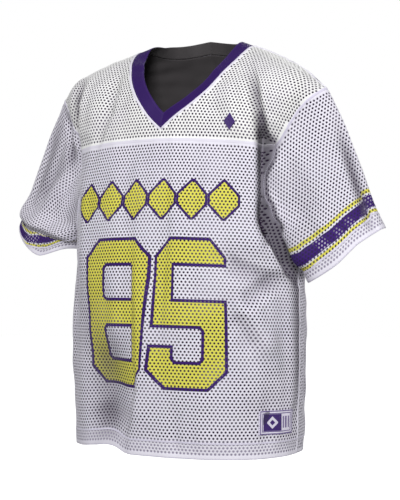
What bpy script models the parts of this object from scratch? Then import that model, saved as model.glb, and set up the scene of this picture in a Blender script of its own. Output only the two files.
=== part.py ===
"""A mesh lacrosse jersey in its worn, hollow form: V neck, chest yoke, short wide sleeves, open hem.

The wearer faces -Y, the wearer's left is +X and +Z is up. The origin is midway between the two points where
the shoulder seams meet the neck, which is where the wearer carries the jersey. All sizes are in metres.

The torso is one smooth form, a chart for its front and one for its back. A point on a chart is named by p,
the distance from the centre line round the body, and v, the height: 0 at the hem, 1 at the chest seam and 2
at the shoulder seam. The panels are cut from the charts, and the sleeves and collar start from their edges.
"""

import math
from collections import namedtuple

import bpy
import numpy as np

# Driving sizes.
HEM_Z = -0.743
CHEST_SEAM_Z = -0.187
CHEST_SEAM_DROOP = 0.022  # how much lower the chest seam is at the sides
HALF_GIRTH = 0.298  # centre line to side seam, round the body
ROUNDNESS = 2.35  # exponent of the body's sections: 2 is an ellipse
LEAN = 0.020  # the wearer's right shoulder is the higher one, by this share of the distance across
LEAN_FROM_Z, LEAN_TO_Z = -0.33, -0.08
WALL = 0.0016
HEM_WALL = 0.0024  # hem and cuffs are folded double
HEM_DEPTH = 0.026
COLLAR_WALL = 0.0020
COLLAR_WIDTH = 0.024
SEAM_GAP = 0.0003
LABEL_P, LABEL_V = 0.242, 0.117
LABEL_WIDTH, LABEL_HEIGHT, LABEL_WALL = 0.072, 0.043, 0.0011

# How the forms are worked out.
SECTION_PACKING = 0.12  # crowds a section's steps where it curves most
RISE_INWARD = 1.6  # exponent that holds the chest's width before it turns in to the shoulder line
SPINE_STEPS = 6  # straight steps between two points of a fold's spine
FOLD_END_SHARE = 0.2  # the share of its depth that a fold has at its very ends
FOLD_FADE = 0.3  # the share of its length over which it comes to full depth
CLOSE = 1e-6

# How many faces the pieces have.
FRONT_COLUMNS = 16  # centre line to side
INNER_COLUMNS = 10  # of these, the ones inside the armhole's deepest point
BACK_NECK_COLUMNS = 6
ROWS_BELOW_ARM = 12
ROWS_AT_ARM = 7
YOKE_ROWS = 12
SLEEVE_ROWS = 12
COLLAR_ROWS = 2
LABEL_COLUMNS, LABEL_ROWS = 12, 7

Section = namedtuple("Section", "z half_width front back centre_y")
SECTIONS = [
    Section(z=-0.743, half_width=0.217, front=0.152, back=0.146, centre_y=-0.030),
    Section(z=-0.640, half_width=0.221, front=0.152, back=0.145, centre_y=-0.030),
    Section(z=-0.530, half_width=0.223, front=0.149, back=0.144, centre_y=-0.030),
    Section(z=-0.420, half_width=0.223, front=0.142, back=0.142, centre_y=-0.030),
    Section(z=-0.340, half_width=0.223, front=0.134, back=0.139, centre_y=-0.030),
    Section(z=-0.260, half_width=0.224, front=0.122, back=0.134, centre_y=-0.029),
    Section(z=-0.187, half_width=0.226, front=0.109, back=0.127, centre_y=-0.028),
]

# The shoulder line, from the centre of the neck out over the shoulder. The collar and the neck's hole lie
# over its first stretch.
ShoulderPoint = namedtuple("ShoulderPoint", "x y z")
SHOULDER_LINE = [
    ShoulderPoint(x=0.000, y=0.000, z=0.036),
    ShoulderPoint(x=0.060, y=0.000, z=0.018),
    ShoulderPoint(x=0.105, y=0.000, z=-0.001),
    ShoulderPoint(x=0.145, y=-0.003, z=-0.016),
    ShoulderPoint(x=0.190, y=-0.009, z=-0.036),
    ShoulderPoint(x=0.235, y=-0.018, z=-0.062),
    ShoulderPoint(x=0.282, y=-0.025, z=-0.104),
    ShoulderPoint(x=0.320, y=-0.028, z=-0.152),
]

# How each side rises from the chest seam to the shoulder line: a power of the cosine in a quarter turn, where
# a higher one is flatter, and how far the side bulges out where the sleeve is sewn on.
Rise = namedtuple("Rise", "at_neck at_shoulder bulge")
RISES = {
    "front": Rise(at_neck=1.50, at_shoulder=0.85, bulge=0.030),
    "back": Rise(at_neck=0.95, at_shoulder=0.85, bulge=0.026),
}
RISE_NECK_P, RISE_SHOULDER_P = 0.11, 0.26

# The armhole's edge on the front and on the back, from the armpit up to the shoulder seam.
ArmholePoint = namedtuple("ArmholePoint", "v front back")
ARMHOLE = [
    ArmholePoint(v=0.715, front=HALF_GIRTH, back=HALF_GIRTH),
    ArmholePoint(v=0.727, front=0.268, back=0.276),
    ArmholePoint(v=0.753, front=0.238, back=0.256),
    ArmholePoint(v=0.810, front=0.220, back=0.244),
    ArmholePoint(v=0.885, front=0.214, back=0.239),
    ArmholePoint(v=0.970, front=0.224, back=0.243),
    ArmholePoint(v=1.080, front=0.242, back=0.252),
    ArmholePoint(v=1.300, front=0.268, back=0.272),
    ArmholePoint(v=1.625, front=0.294, back=0.294),
    ArmholePoint(v=1.850, front=0.305, back=0.305),
    ArmholePoint(v=2.000, front=0.307, back=0.307),
]
ARMPIT_V = ARMHOLE[0].v
DEEPEST_P = 0.190  # a little inside the armhole's deepest point

# The neckline, where the collar is sewn on, from the centre line to the shoulder seam: p on the wearer's left
# and on the right.
NeckPoint = namedtuple("NeckPoint", "v left right")
NECK_FRONT = [
    NeckPoint(v=1.075, left=0.000, right=0.000),
    NeckPoint(v=1.145, left=0.022, right=0.024),
    NeckPoint(v=1.240, left=0.054, right=0.047),
    NeckPoint(v=1.345, left=0.079, right=0.068),
    NeckPoint(v=1.470, left=0.098, right=0.087),
    NeckPoint(v=1.620, left=0.112, right=0.104),
    NeckPoint(v=1.850, left=0.124, right=0.123),
    NeckPoint(v=2.000, left=0.127, right=0.127),
]
NeckBackPoint = namedtuple("NeckBackPoint", "v p")
NECK_BACK = [
    NeckBackPoint(v=1.700, p=0.000),
    NeckBackPoint(v=1.712, p=0.040),
    NeckBackPoint(v=1.760, p=0.080),
    NeckBackPoint(v=1.860, p=0.110),
    NeckBackPoint(v=2.000, p=0.127),
]
V_TIP = NECK_FRONT[0].v
NECK_P = NECK_BACK[-1].p

# How many degrees the collar stands up from the panels, along each half of the neckline from the V's tip. Where
# it is negative the collar leans in over the neck.
CollarRise = namedtuple("CollarRise", "run left right")
COLLAR_RISES = [
    CollarRise(run=0.000, left=-8, right=-8),
    CollarRise(run=0.060, left=-16, right=-14),
    CollarRise(run=0.100, left=-18, right=-20),
    CollarRise(run=0.140, left=-18, right=-24),
    CollarRise(run=0.180, left=-12, right=-28),
    CollarRise(run=0.210, left=-2, right=-26),
    CollarRise(run=0.245, left=5, right=-12),
    CollarRise(run=0.280, left=0, right=0),
    CollarRise(run=0.310, left=4, right=8),
    CollarRise(run=0.350, left=14, right=14),
    CollarRise(run=0.410, left=20, right=20),
]

# How far the front's hem is drawn up, beside the fold where it is set back, and how far up that fades out.
HemLift = namedtuple("HemLift", "p lift")
HEM_LIFTS = [
    HemLift(p=-0.240, lift=0.0000),
    HemLift(p=-0.165, lift=0.0040),
    HemLift(p=-0.125, lift=0.0090),
    HemLift(p=-0.092, lift=0.0125),
    HemLift(p=-0.072, lift=0.0095),
    HemLift(p=-0.052, lift=0.0020),
    HemLift(p=-0.035, lift=0.0000),
]
HEM_LIFT_V = 0.35

# Each cuff is an oval: its centre, the steps from there to its outer end and to its front, how far its front
# is lifted next to the body, and the sleeve's direction where it ends.
Cuff = namedtuple("Cuff", "centre to_outer to_front lift axis")
CUFFS = {
    "left": Cuff(
        centre=(0.308, -0.016, -0.393),
        to_outer=(0.067, 0.008, 0.044),
        to_front=(-0.001, -0.057, -0.017),
        lift=0.000,
        axis=(0.50, 0.00, -0.86),
    ),
    "right": Cuff(
        centre=(-0.310, -0.025, -0.354),
        to_outer=(-0.075, 0.005, 0.028),
        to_front=(0.012, -0.060, -0.040),
        lift=0.022,
        axis=(-0.45, 0.10, -0.88),
    ),
}
# How strongly the sleeve keeps the panel's direction where it leaves, and its own where it ends, as shares of
# its length. Where it leaves, its direction is the panel's turned down towards the cuff's by the drop, and at
# the armpit down more, and outwards.
SLEEVE_LEAVE, SLEEVE_ARRIVE = 0.68, 0.38
LEAVE_DROP, ARMPIT_DROP, ARMPIT_OUT, ARMPIT_AWAY = 0.45, 0.90, 0.70, 0.70
SLEEVE_FOLDS_FROM = 0.15  # the way down the sleeve over which its folds come to full depth

# A fold's spine runs through its points. Depth is outward, so that of a trough is negative.
Fold = namedtuple("Fold", "points width depth")
TORSO_FOLDS = {
    "front": [
        # The deep crease in front of the wearer's left arm and the ridge beside it.
        Fold([(0.162, 1.62), (0.186, 1.42), (0.203, 1.20), (0.212, 0.98), (0.214, 0.85)], 0.031, -0.017),
        Fold([(0.118, 1.55), (0.146, 1.32), (0.164, 1.13), (0.174, 0.95)], 0.034, 0.007),
        # The valley in front of the wearer's right arm.
        Fold([(-0.225, 1.75), (-0.232, 1.45), (-0.222, 1.15), (-0.214, 0.95)], 0.034, -0.009),
        # Down the centre, from the V to the hem.
        Fold([(0.004, 1.00), (-0.002, 0.75), (-0.003, 0.45), (-0.020, 0.20), (-0.018, 0.00)], 0.044, 0.006),
        # The hem's set-back to the wearer's right of it.
        Fold([(-0.100, 0.42), (-0.090, 0.20), (-0.085, -0.02)], 0.075, -0.022),
        # Drag lines from the wearer's left armpit across and down.
        Fold([(0.262, 0.56), (0.205, 0.60), (0.160, 0.62)], 0.032, -0.009),
        Fold([(0.212, 0.66), (0.165, 0.68), (0.130, 0.70)], 0.036, 0.006),
        Fold([(0.245, 0.58), (0.198, 0.52), (0.186, 0.47)], 0.034, -0.008),
        Fold([(0.165, 0.54), (0.185, 0.45), (0.206, 0.37), (0.245, 0.29)], 0.040, 0.009),
        Fold([(0.148, 0.52), (0.160, 0.43), (0.178, 0.36)], 0.034, -0.006),
    ],
    "back": [
        Fold([(0.010, 1.45), (0.020, 1.00), (0.012, 0.55), (0.030, 0.15)], 0.050, -0.008),
        Fold([(-0.120, 1.30), (-0.105, 0.95), (-0.090, 0.60)], 0.045, 0.007),
        Fold([(0.150, 1.35), (0.135, 0.90), (0.140, 0.50)], 0.045, 0.008),
        Fold([(-0.250, 0.60), (-0.180, 0.50), (-0.140, 0.35)], 0.042, -0.010),
        Fold([(0.255, 0.60), (0.190, 0.46), (0.165, 0.28)], 0.042, -0.009),
        Fold([(-0.060, 0.38), (-0.070, 0.18), (-0.062, -0.02)], 0.060, 0.012),
        Fold([(0.110, 0.30), (0.105, 0.12), (0.112, -0.02)], 0.055, -0.013),
    ],
}
# On a sleeve a point is the angle round it in degrees, from its top over its front, and the way to the cuff.
SLEEVE_FOLDS = {
    "left": [
        Fold([(18, 0.10), (22, 0.40), (24, 0.75), (24, 1.02)], 0.020, -0.007),
        Fold([(95, 0.12), (100, 0.45), (108, 0.80)], 0.026, -0.005),
        Fold([(215, 0.15), (235, 0.50), (250, 0.85)], 0.030, -0.008),
        Fold([(300, 0.20), (305, 0.55), (315, 0.90)], 0.030, 0.006),
    ],
    "right": [
        Fold([(60, 0.10), (45, 0.40), (35, 0.70)], 0.026, -0.007),
        Fold([(45, 0.88), (95, 0.84), (140, 0.80)], 0.022, 0.008),
        Fold([(120, 0.15), (115, 0.40), (105, 0.60)], 0.026, -0.005),
        Fold([(230, 0.20), (240, 0.55), (255, 0.90)], 0.030, -0.008),
    ],
}


def ease(share):
    """From 0 to 1 with level ends."""
    share = np.clip(share, 0, 1)
    return share * share * (3 - 2 * share)


def unit(vectors):
    return vectors / np.maximum(np.linalg.norm(vectors, axis=-1, keepdims=True), 1e-12)


def smooth(table, value, key, at):
    """A smooth curve through one column of a table: a cubic between rows, with their neighbours' slopes."""
    keys = np.array([getattr(row, key) for row in table], float)
    values = np.array([getattr(row, value) for row in table], float)
    step = np.diff(keys)
    rise = np.diff(values) / step
    middle = (rise[:-1] * step[1:] + rise[1:] * step[:-1]) / (step[:-1] + step[1:])
    slope = np.concatenate([rise[:1], middle, rise[-1:]])
    at = np.clip(at, keys[0], keys[-1])
    i = np.clip(np.searchsorted(keys, at) - 1, 0, len(step) - 1)
    t = (at - keys[i]) / step[i]
    ends = values[i] + (3 * t**2 - 2 * t**3) * (values[i + 1] - values[i])
    return ends + step[i] * ((t**3 - 2 * t**2 + t) * slope[i] + (t**3 - t**2) * slope[i + 1])


def running_length(points):
    """The distance along each column of points, from its first row."""
    steps = np.linalg.norm(np.diff(points, axis=0), axis=-1)
    return np.concatenate([np.zeros((1,) + steps.shape[1:]), np.cumsum(steps, axis=0)])


def along(points, run, at):
    """Points of one line at the given distances along it."""
    return np.stack([np.interp(at, run, points[:, axis]) for axis in range(points.shape[1])], axis=-1)


def read_table(table, row, column):
    """Values between a table's entries, in proportion to the distance from each."""
    i = np.clip(row.astype(int), 0, table.shape[0] - 2)
    j = np.clip(column.astype(int), 0, table.shape[1] - 2)
    a, b = (row - i)[..., None], (column - j)[..., None]
    near = table[i, j] * (1 - b) + table[i, j + 1] * b
    far = table[i + 1, j] * (1 - b) + table[i + 1, j + 1] * b
    return near * (1 - a) + far * a


class Chart:
    """One side of the torso, as a fine table of points that any (p, v) is read from."""

    COLUMNS = 145
    ROWS = 60
    P_MAX = 1.2 * HALF_GIRTH

    def __init__(self, side):
        self.side = side
        self.sign = -1 if side == "front" else 1
        self.spines = []
        p = np.linspace(0, self.P_MAX, self.COLUMNS)
        seam = CHEST_SEAM_Z - CHEST_SEAM_DROOP * (p / HALF_GIRTH) ** 2
        levels = np.linspace(HEM_Z, CHEST_SEAM_Z, 2 * self.ROWS)
        around = np.array([self.section(z, p) for z in levels])
        z = HEM_Z + (seam - HEM_Z) * np.linspace(0, 1, self.ROWS)[:, None]
        self.lower = np.empty(z.shape + (3,))
        for column in range(self.COLUMNS):
            self.lower[:, column, :2] = along(around[:, column], levels, z[:, column])
        self.lower[..., 2] = z
        self.upper = self.over_the_shoulder(self.lower[-1], p)

    def section(self, z, p):
        """Points round the body at one height, where p is the distance from this side's centre line."""
        depths = {side: smooth(SECTIONS, side, "z", z) for side in ("front", "back")}
        near = depths[self.side]
        far = depths["back" if self.side == "front" else "front"]
        turn = np.linspace(0, math.pi / 2, 241)
        turn = turn - SECTION_PACKING * np.sin(4 * turn)
        across = smooth(SECTIONS, "half_width", "z", z) * np.sin(turn) ** (2 / ROUNDNESS)
        ahead = np.cos(turn) ** (2 / ROUNDNESS)
        near_side = np.stack([across, self.sign * near * ahead], axis=-1)
        far_side = np.stack([across, -self.sign * far * ahead], axis=-1)[-2::-1]
        ring = np.concatenate([near_side, far_side])
        run = running_length(ring)
        points = along(ring, run, p / HALF_GIRTH * run[len(near_side) - 1])
        return points + (0, smooth(SECTIONS, "centre_y", "z", z))

    def over_the_shoulder(self, chest, p):
        """From the chest seam up and over to the shoulder line, as a quarter turn, in even rows."""
        x = np.linspace(0, SHOULDER_LINE[-1].x, 400)
        line = np.stack([x] + [smooth(SHOULDER_LINE, axis, "x", x) for axis in ("y", "z")], axis=-1)
        top = along(line, running_length(line), p)
        rise = RISES[self.side]
        outer = ease((p - RISE_NECK_P) / (RISE_SHOULDER_P - RISE_NECK_P))
        turn = np.linspace(0, math.pi / 2, 160)[:, None]
        power = rise.at_neck + (rise.at_shoulder - rise.at_neck) * outer
        inward, over, up = np.sin(turn) ** RISE_INWARD, 1 - np.cos(turn) ** power, np.sin(turn)
        shares = np.stack(np.broadcast_arrays(inward, over, up), axis=-1)
        points = chest + (top - chest) * shares
        points[..., 1] += self.sign * rise.bulge * outer * np.sin(2 * turn)
        run = running_length(points)
        even = np.linspace(0, 1, self.ROWS)
        columns = [along(points[:, k], run[:, k], even * run[-1, k]) for k in range(len(p))]
        return np.stack(columns, axis=1)

    def base(self, p, v):
        """Points of the smooth form, before any fold."""
        p, v = np.broadcast_arrays(np.asarray(p, float), np.asarray(v, float))
        column = np.clip(np.abs(p) / self.P_MAX, 0, 1) * (self.COLUMNS - 1)
        low = read_table(self.lower, v * (self.ROWS - 1), column)
        high = read_table(self.upper, (v - 1) * (self.ROWS - 1), column)
        points = np.where(v[..., None] <= 1, low, high)
        points[..., 0] *= np.where(p < 0, -1, 1)
        height = ease((points[..., 2] - LEAN_FROM_Z) / (LEAN_TO_Z - LEAN_FROM_Z))
        points[..., 2] -= LEAN * points[..., 0] * height
        if self.side == "front":
            points[..., 2] += smooth(HEM_LIFTS, "lift", "p", p) * ease(1 - v / HEM_LIFT_V)
        return points

    def slopes(self, surface, p, v, step_p=0.002, step_v=0.004):
        """How a surface moves with p, and with v, at each point. At the shoulder line it looks back only."""
        above, below = np.minimum(v + step_v, 2), v - step_v
        sideways = (surface(p + step_p, v) - surface(p - step_p, v)) / (2 * step_p)
        upwards = (surface(p, above) - surface(p, below)) / (above - below)[..., None]
        return sideways, upwards

    def normals(self, surface, p, v):
        return unit(np.cross(*self.slopes(surface, p, v))) * -self.sign

    def point(self, p, v):
        """Points of the worn form, with its folds."""
        p, v = np.broadcast_arrays(np.asarray(p, float), np.asarray(v, float))
        points = self.base(p, v)
        return points + self.normals(self.base, p, v) * fold_depth(points, self.spines)[..., None]

    def normal(self, p, v):
        p, v = np.broadcast_arrays(np.asarray(p, float), np.asarray(v, float))
        return self.normals(self.point, p, v)

    def raised(self, p, v, distance):
        """v moved up by a distance on the cloth."""
        return v + distance / np.linalg.norm(self.slopes(self.base, p, v)[1], axis=-1)


def spine_of(fold, surface):
    """A fold's spine in space, through its points, with the fold's width and depth."""
    knots = np.array(fold.points, float)
    share = np.linspace(0, len(knots) - 1, SPINE_STEPS * (len(knots) - 1) + 1)
    i = np.clip(share.astype(int), 0, len(knots) - 2)
    ways = knots[i] + (knots[i + 1] - knots[i]) * (share - i)[:, None]
    return surface(ways[:, 0], ways[:, 1]), fold.width, fold.depth


def fold_depth(points, spines):
    """How far the folds move each point outwards. A fold fades out to its sides and towards both its ends."""
    flat = points.reshape(-1, 3)
    total = np.zeros(len(flat))
    rows = np.arange(len(flat))
    for line, width, depth in spines:
        steps = np.diff(line, axis=0)
        offset = flat[:, None] - line[:-1]
        share = np.clip((offset * steps).sum(-1) / (steps**2).sum(-1), 0, 1)
        distance = np.linalg.norm(offset - share[..., None] * steps, axis=-1)
        nearest = distance.argmin(axis=1)
        place = (nearest + share[rows, nearest]) / len(steps)
        across = np.clip(1 - (distance[rows, nearest] / width) ** 2, 0, 1) ** 2
        full = ease(np.minimum(place, 1 - place) / FOLD_FADE)
        total += depth * across * (FOLD_END_SHARE + (1 - FOLD_END_SHARE) * full)
    return total.reshape(points.shape[:-1])


CHARTS = {side: Chart(side) for side in TORSO_FOLDS}
ALL_SPINES = [spine_of(fold, CHARTS[side].base) for side, folds in TORSO_FOLDS.items() for fold in folds]
for chart in CHARTS.values():
    chart.spines = ALL_SPINES

LOW_ROWS = np.concatenate(
    [[0], np.linspace(HEM_DEPTH / (CHEST_SEAM_Z - HEM_Z), ARMPIT_V, ROWS_BELOW_ARM)]
)
ARM_ROWS = ARMPIT_V + (1 - ARMPIT_V) * np.linspace(0, 1, ROWS_AT_ARM + 1) ** 1.3
CHEST_ROWS = np.concatenate([[1], np.linspace(V_TIP, 2, YOKE_ROWS)])
ARMHOLE_ROWS = np.concatenate([ARM_ROWS, CHEST_ROWS[1:]])


def arm_edge(side, v):
    """p of a panel's outer edge: the side seam up to the armpit, then the armhole."""
    return np.where(v <= ARMPIT_V, HALF_GIRTH, smooth(ARMHOLE, side, "v", v))


def neck_front_p(v, name):
    return np.where(v <= V_TIP, 0, smooth(NECK_FRONT, name, "v", v))


def front_columns(v, name):
    """p of the front's columns in each row v, from the centre line or neckline to the side or armhole."""
    inner, outer = neck_front_p(v, name)[:, None], arm_edge("front", v)[:, None]
    column = np.arange(FRONT_COLUMNS + 1)
    near = inner + (DEEPEST_P - inner) * column / INNER_COLUMNS
    far = DEEPEST_P + (outer - DEEPEST_P) * (column - INNER_COLUMNS) / (FRONT_COLUMNS - INNER_COLUMNS)
    packed = np.where(column <= INNER_COLUMNS, near, far)
    even = inner + (outer - inner) * column / FRONT_COLUMNS
    return packed + (even - packed) * ease(v - 1)[:, None]


def back_columns(v):
    """p of the back's columns in each row v. At the shoulder seam they meet the front's columns."""
    count = BACK_NECK_COLUMNS + FRONT_COLUMNS
    even = np.arange(count + 1) / count
    over_neck = NECK_P * np.arange(BACK_NECK_COLUMNS) / BACK_NECK_COLUMNS
    top = np.concatenate([over_neck, front_columns(np.array([2.0]), "left")[0]])
    shares = even + (top / top[-1] - even) * ease(v - 1)[:, None]
    return shares * arm_edge("back", v)[:, None]


def quads_of_grid(rows, columns, closed=False):
    """The faces of a grid of points, wound from its first column to the next and then up."""
    i, j = np.meshgrid(np.arange(rows - 1), np.arange(columns if closed else columns - 1), indexing="ij")
    k = (j + 1) % columns
    corners = (i * columns + j, i * columns + k, (i + 1) * columns + k, (i + 1) * columns + j)
    return np.stack(corners, axis=-1).reshape(-1, 4)


def cloth_wall(name, parts, material):
    """A closed wall of cloth from grids of its outer points. Its inner points lie a wall's thickness inside.

    Each part is (points, normals, walls, flip), and parts meet where their points coincide.
    """
    quads, start = [], 0
    for points, _, _, flip in parts:
        faces = quads_of_grid(*points.shape[:2]) + start
        quads.append(faces[:, [0, 3, 2, 1]] if flip else faces)
        start += points.shape[0] * points.shape[1]
    quads = np.concatenate(quads)
    points, normals = (np.concatenate([part[k].reshape(-1, 3) for part in parts]) for k in (0, 1))
    walls = np.concatenate([np.broadcast_to(part[2], part[0].shape[:2]).reshape(-1) for part in parts])
    _, first, place = np.unique(np.round(points, 6), axis=0, return_index=True, return_inverse=True)
    quads = place.reshape(-1)[quads]
    points, normals, walls = points[first], normals[first], walls[first]
    inner = points - normals * walls[:, None]
    edges = np.concatenate([quads[:, [k, (k + 1) % 4]] for k in range(4)])
    twins = {(int(a), int(b)) for a, b in edges}
    rim = np.array([(a, b) for a, b in edges if (int(b), int(a)) not in twins])
    count = len(points)
    rims = np.stack([rim[:, 1], rim[:, 0], rim[:, 0] + count, rim[:, 1] + count], axis=-1)
    faces = np.concatenate([quads, quads[:, [0, 3, 2, 1]] + count, rims])
    return add_object(name, np.concatenate([points, inner]), faces, material)


def add_object(name, points, faces, material):
    mesh = bpy.data.meshes.new(name)
    mesh.from_pydata(points.tolist(), [], faces.tolist())
    mesh.shade_smooth()
    mesh.set_sharp_from_angle(angle=math.radians(50))
    mesh.materials.append(material)
    obj = bpy.data.objects.new(name, mesh)
    bpy.context.scene.collection.objects.link(obj)
    return obj


def fabric(name, colour, roughness):
    made = bpy.data.materials.new(name)
    made.use_nodes = True
    shader = made.node_tree.nodes["Principled BSDF"]
    shader.inputs["Base Color"].default_value = (*colour, 1)
    shader.inputs["Roughness"].default_value = roughness
    shader.inputs["Metallic"].default_value = 0
    return made


class Sleeve:
    """A sleeve, as smooth lines from the armhole's edge to the cuff, round from its top over its front."""

    def __init__(self, name):
        self.name = name
        self.sign = 1 if name == "left" else -1
        front_v, back_v = ARMHOLE_ROWS[::-1], ARMHOLE_ROWS[1:-1]
        sides = (("front", front_v), ("back", back_v))
        edge = np.concatenate([CHARTS[side].point(self.sign * arm_edge(side, v), v) for side, v in sides])
        flat = np.concatenate([CHARTS[side].normal(self.sign * arm_edge(side, v), v) for side, v in sides])
        round_edge = np.roll(edge, -1, axis=0) - np.roll(edge, 1, axis=0)
        away = unit(np.cross(flat, round_edge)) * self.sign
        run = running_length(np.concatenate([edge, edge[:1]]))
        bottom, whole = run[len(front_v) - 1], run[-1]
        share = np.where(run <= bottom, run / bottom, 1 + (run - bottom) / (whole - bottom)) / 2
        self.angle = 2 * math.pi * share[:-1]
        cuff = CUFFS[name]
        across, ahead = np.cos(self.angle)[:, None], np.sin(self.angle)[:, None]
        under = np.clip(-across, 0, 1)
        self.end = np.array(cuff.centre) + across * cuff.to_outer + ahead * cuff.to_front
        self.end[:, 2:] += 2 * cuff.lift * under * np.clip(ahead, 0, 1)
        axis = unit(np.array(cuff.axis))
        down = axis * (LEAVE_DROP + (ARMPIT_DROP - LEAVE_DROP) * under)
        out = np.array([ARMPIT_OUT * self.sign, 0, 0]) * under
        leave = unit(away * (1 - (1 - ARMPIT_AWAY) * under) + down + out)
        self.start = edge + unit(away + leave) * SEAM_GAP
        span = np.linalg.norm(self.end - self.start, axis=-1, keepdims=True)
        self.leave = leave * SLEEVE_LEAVE * span
        self.arrive = axis * SLEEVE_ARRIVE * span
        self.spines = [spine_of(fold, self.base_at) for fold in SLEEVE_FOLDS[name]]
        self.seam_normals = unit(flat + self.normals(self.grid, np.array([0.0]))[0])
        self.length = np.linalg.norm(self.end - self.start, axis=-1).mean()

    def lines(self, t):
        t = t[:, None, None]
        ends = self.start + (3 * t**2 - 2 * t**3) * (self.end - self.start)
        return ends + (t**3 - 2 * t**2 + t) * self.leave + (t**3 - t**2) * self.arrive

    def base_at(self, degrees, t):
        """Points at an angle round the sleeve and a share t of the way to the cuff."""
        turns = np.radians(degrees) % (2 * math.pi)
        loop = np.append(self.angle, 2 * math.pi)
        rows = [np.concatenate([row, row[:1]]) for row in self.lines(t)]
        return np.array([along(row, loop, turn) for row, turn in zip(rows, turns)])

    def normals(self, surface, t, step=0.01):
        down = surface(np.minimum(t + step, 1)) - surface(np.maximum(t - step, 0))
        points = surface(t)
        round_sleeve = np.roll(points, -1, axis=1) - np.roll(points, 1, axis=1)
        return unit(np.cross(round_sleeve, down)) * self.sign

    def grid(self, t):
        """Rows of points round the sleeve at shares t of the way to the cuff, with its folds."""
        points = self.lines(t)
        depth = fold_depth(points, self.spines) * ease(t / SLEEVE_FOLDS_FROM)[:, None]
        return points + self.normals(self.lines, t) * depth[..., None]

    def seam_of(self, side):
        """The shared normals up one panel's armhole, from the armpit to the shoulder seam."""
        count = len(ARMHOLE_ROWS)
        front, back = self.seam_normals[:count], self.seam_normals[count:]
        return front[::-1] if side == "front" else np.concatenate([front[-1:], back, front[:1]])

    def build(self, material):
        cuff_seam = 1 - HEM_DEPTH / self.length
        t = np.append(np.linspace(0, cuff_seam, SLEEVE_ROWS), 1.0)
        points, normals = self.grid(t), self.normals(self.grid, t)
        normals[0] = self.seam_normals
        points, normals = (np.concatenate([grid, grid[:, :1]], axis=1) for grid in (points, normals))
        walls = np.where(t >= cuff_seam - CLOSE, HEM_WALL, WALL)[:, None]
        cloth_wall("sleeve_" + self.name, [(points, normals, walls, self.sign < 0)], material)


class NeckEdge:
    """Half of the neckline, from the V's tip round to the centre back, and the collar's band along it."""

    FINE = 60
    SHEAR_LENGTH = 0.10  # the band's cross lines slant towards the mitre at the V's tip over this length

    def __init__(self, sign):
        front_v = np.linspace(V_TIP, 2, self.FINE)
        back_p = np.linspace(NECK_P, 0, self.FINE)[1:]
        name = "left" if sign > 0 else "right"
        edges = (("front", neck_front_p(front_v, name), front_v), ("back", back_p, neck_back_v(back_p)))
        self.line = np.concatenate([CHARTS[side].point(sign * p, v) for side, p, v in edges])
        flat = np.concatenate([CHARTS[side].normal(sign * p, v) for side, p, v in edges])
        self.run = running_length(self.line)
        forward = unit(np.gradient(self.line, self.run, axis=0))
        forward[-1] = (-sign, 0, 0)
        inward = unit(relaxed(unit(np.cross(relaxed(flat), forward)) * sign))
        flat = unit(np.cross(forward, inward)) * sign
        rise = np.radians(smooth(COLLAR_RISES, name, "run", self.run))[:, None]
        self.rise = inward * np.cos(rise) + flat * np.sin(rise)
        self.face = flat * np.cos(rise) - inward * np.sin(rise)
        self.seam = flat * np.cos(rise / 2) - inward * np.sin(rise / 2)
        over_neck = back_columns(np.array([2.0]))[0][:BACK_NECK_COLUMNS]
        front_at = np.interp(CHEST_ROWS[1:], front_v, self.run[: self.FINE])
        back_at = np.interp(-over_neck[::-1], -back_p, self.run[self.FINE :])
        self.at = np.concatenate([front_at, back_at])
        self.seam_normals = unit(along(self.seam, self.run, self.at))
        self.front_count = len(front_at)
        self.mitre = COLLAR_WIDTH * math.hypot(forward[0, 1], forward[0, 2]) / abs(forward[0, 0])

    def band(self, rows):
        """Rows of points across the band, from the seam to its free edge, and their normals."""
        shares = np.linspace(0, 1, rows + 1)[:, None]
        at = self.at + shares * self.mitre * np.clip(1 - self.at / self.SHEAR_LENGTH, 0, 1)
        rise = unit(along(self.rise, self.run, at.ravel())).reshape(at.shape + (3,))
        normals = unit(along(self.face, self.run, at.ravel())).reshape(at.shape + (3,))
        points = along(self.line, self.run, at.ravel()).reshape(at.shape + (3,))
        points = points + rise * (SEAM_GAP + COLLAR_WIDTH * shares[..., None])
        normals[0] = self.seam_normals
        return points, normals


def neck_back_v(p):
    return smooth(NECK_BACK, "v", "p", p)


def relaxed(values, times=4):
    """A line of values, each drawn towards its neighbours a number of times."""
    for _ in range(times):
        middle = (values[:-2] + 2 * values[1:-1] + values[2:]) / 4
        values = np.concatenate([values[:1], middle, values[-1:]])
    return values


def shoulder_normals(p):
    """The normals that front and back share along the shoulder seam."""
    return unit(CHARTS["front"].normal(p, 2.0) + CHARTS["back"].normal(p, 2.0))


def wall_at(v):
    return np.where(v <= LOW_ROWS[1] + CLOSE, HEM_WALL, WALL)


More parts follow.
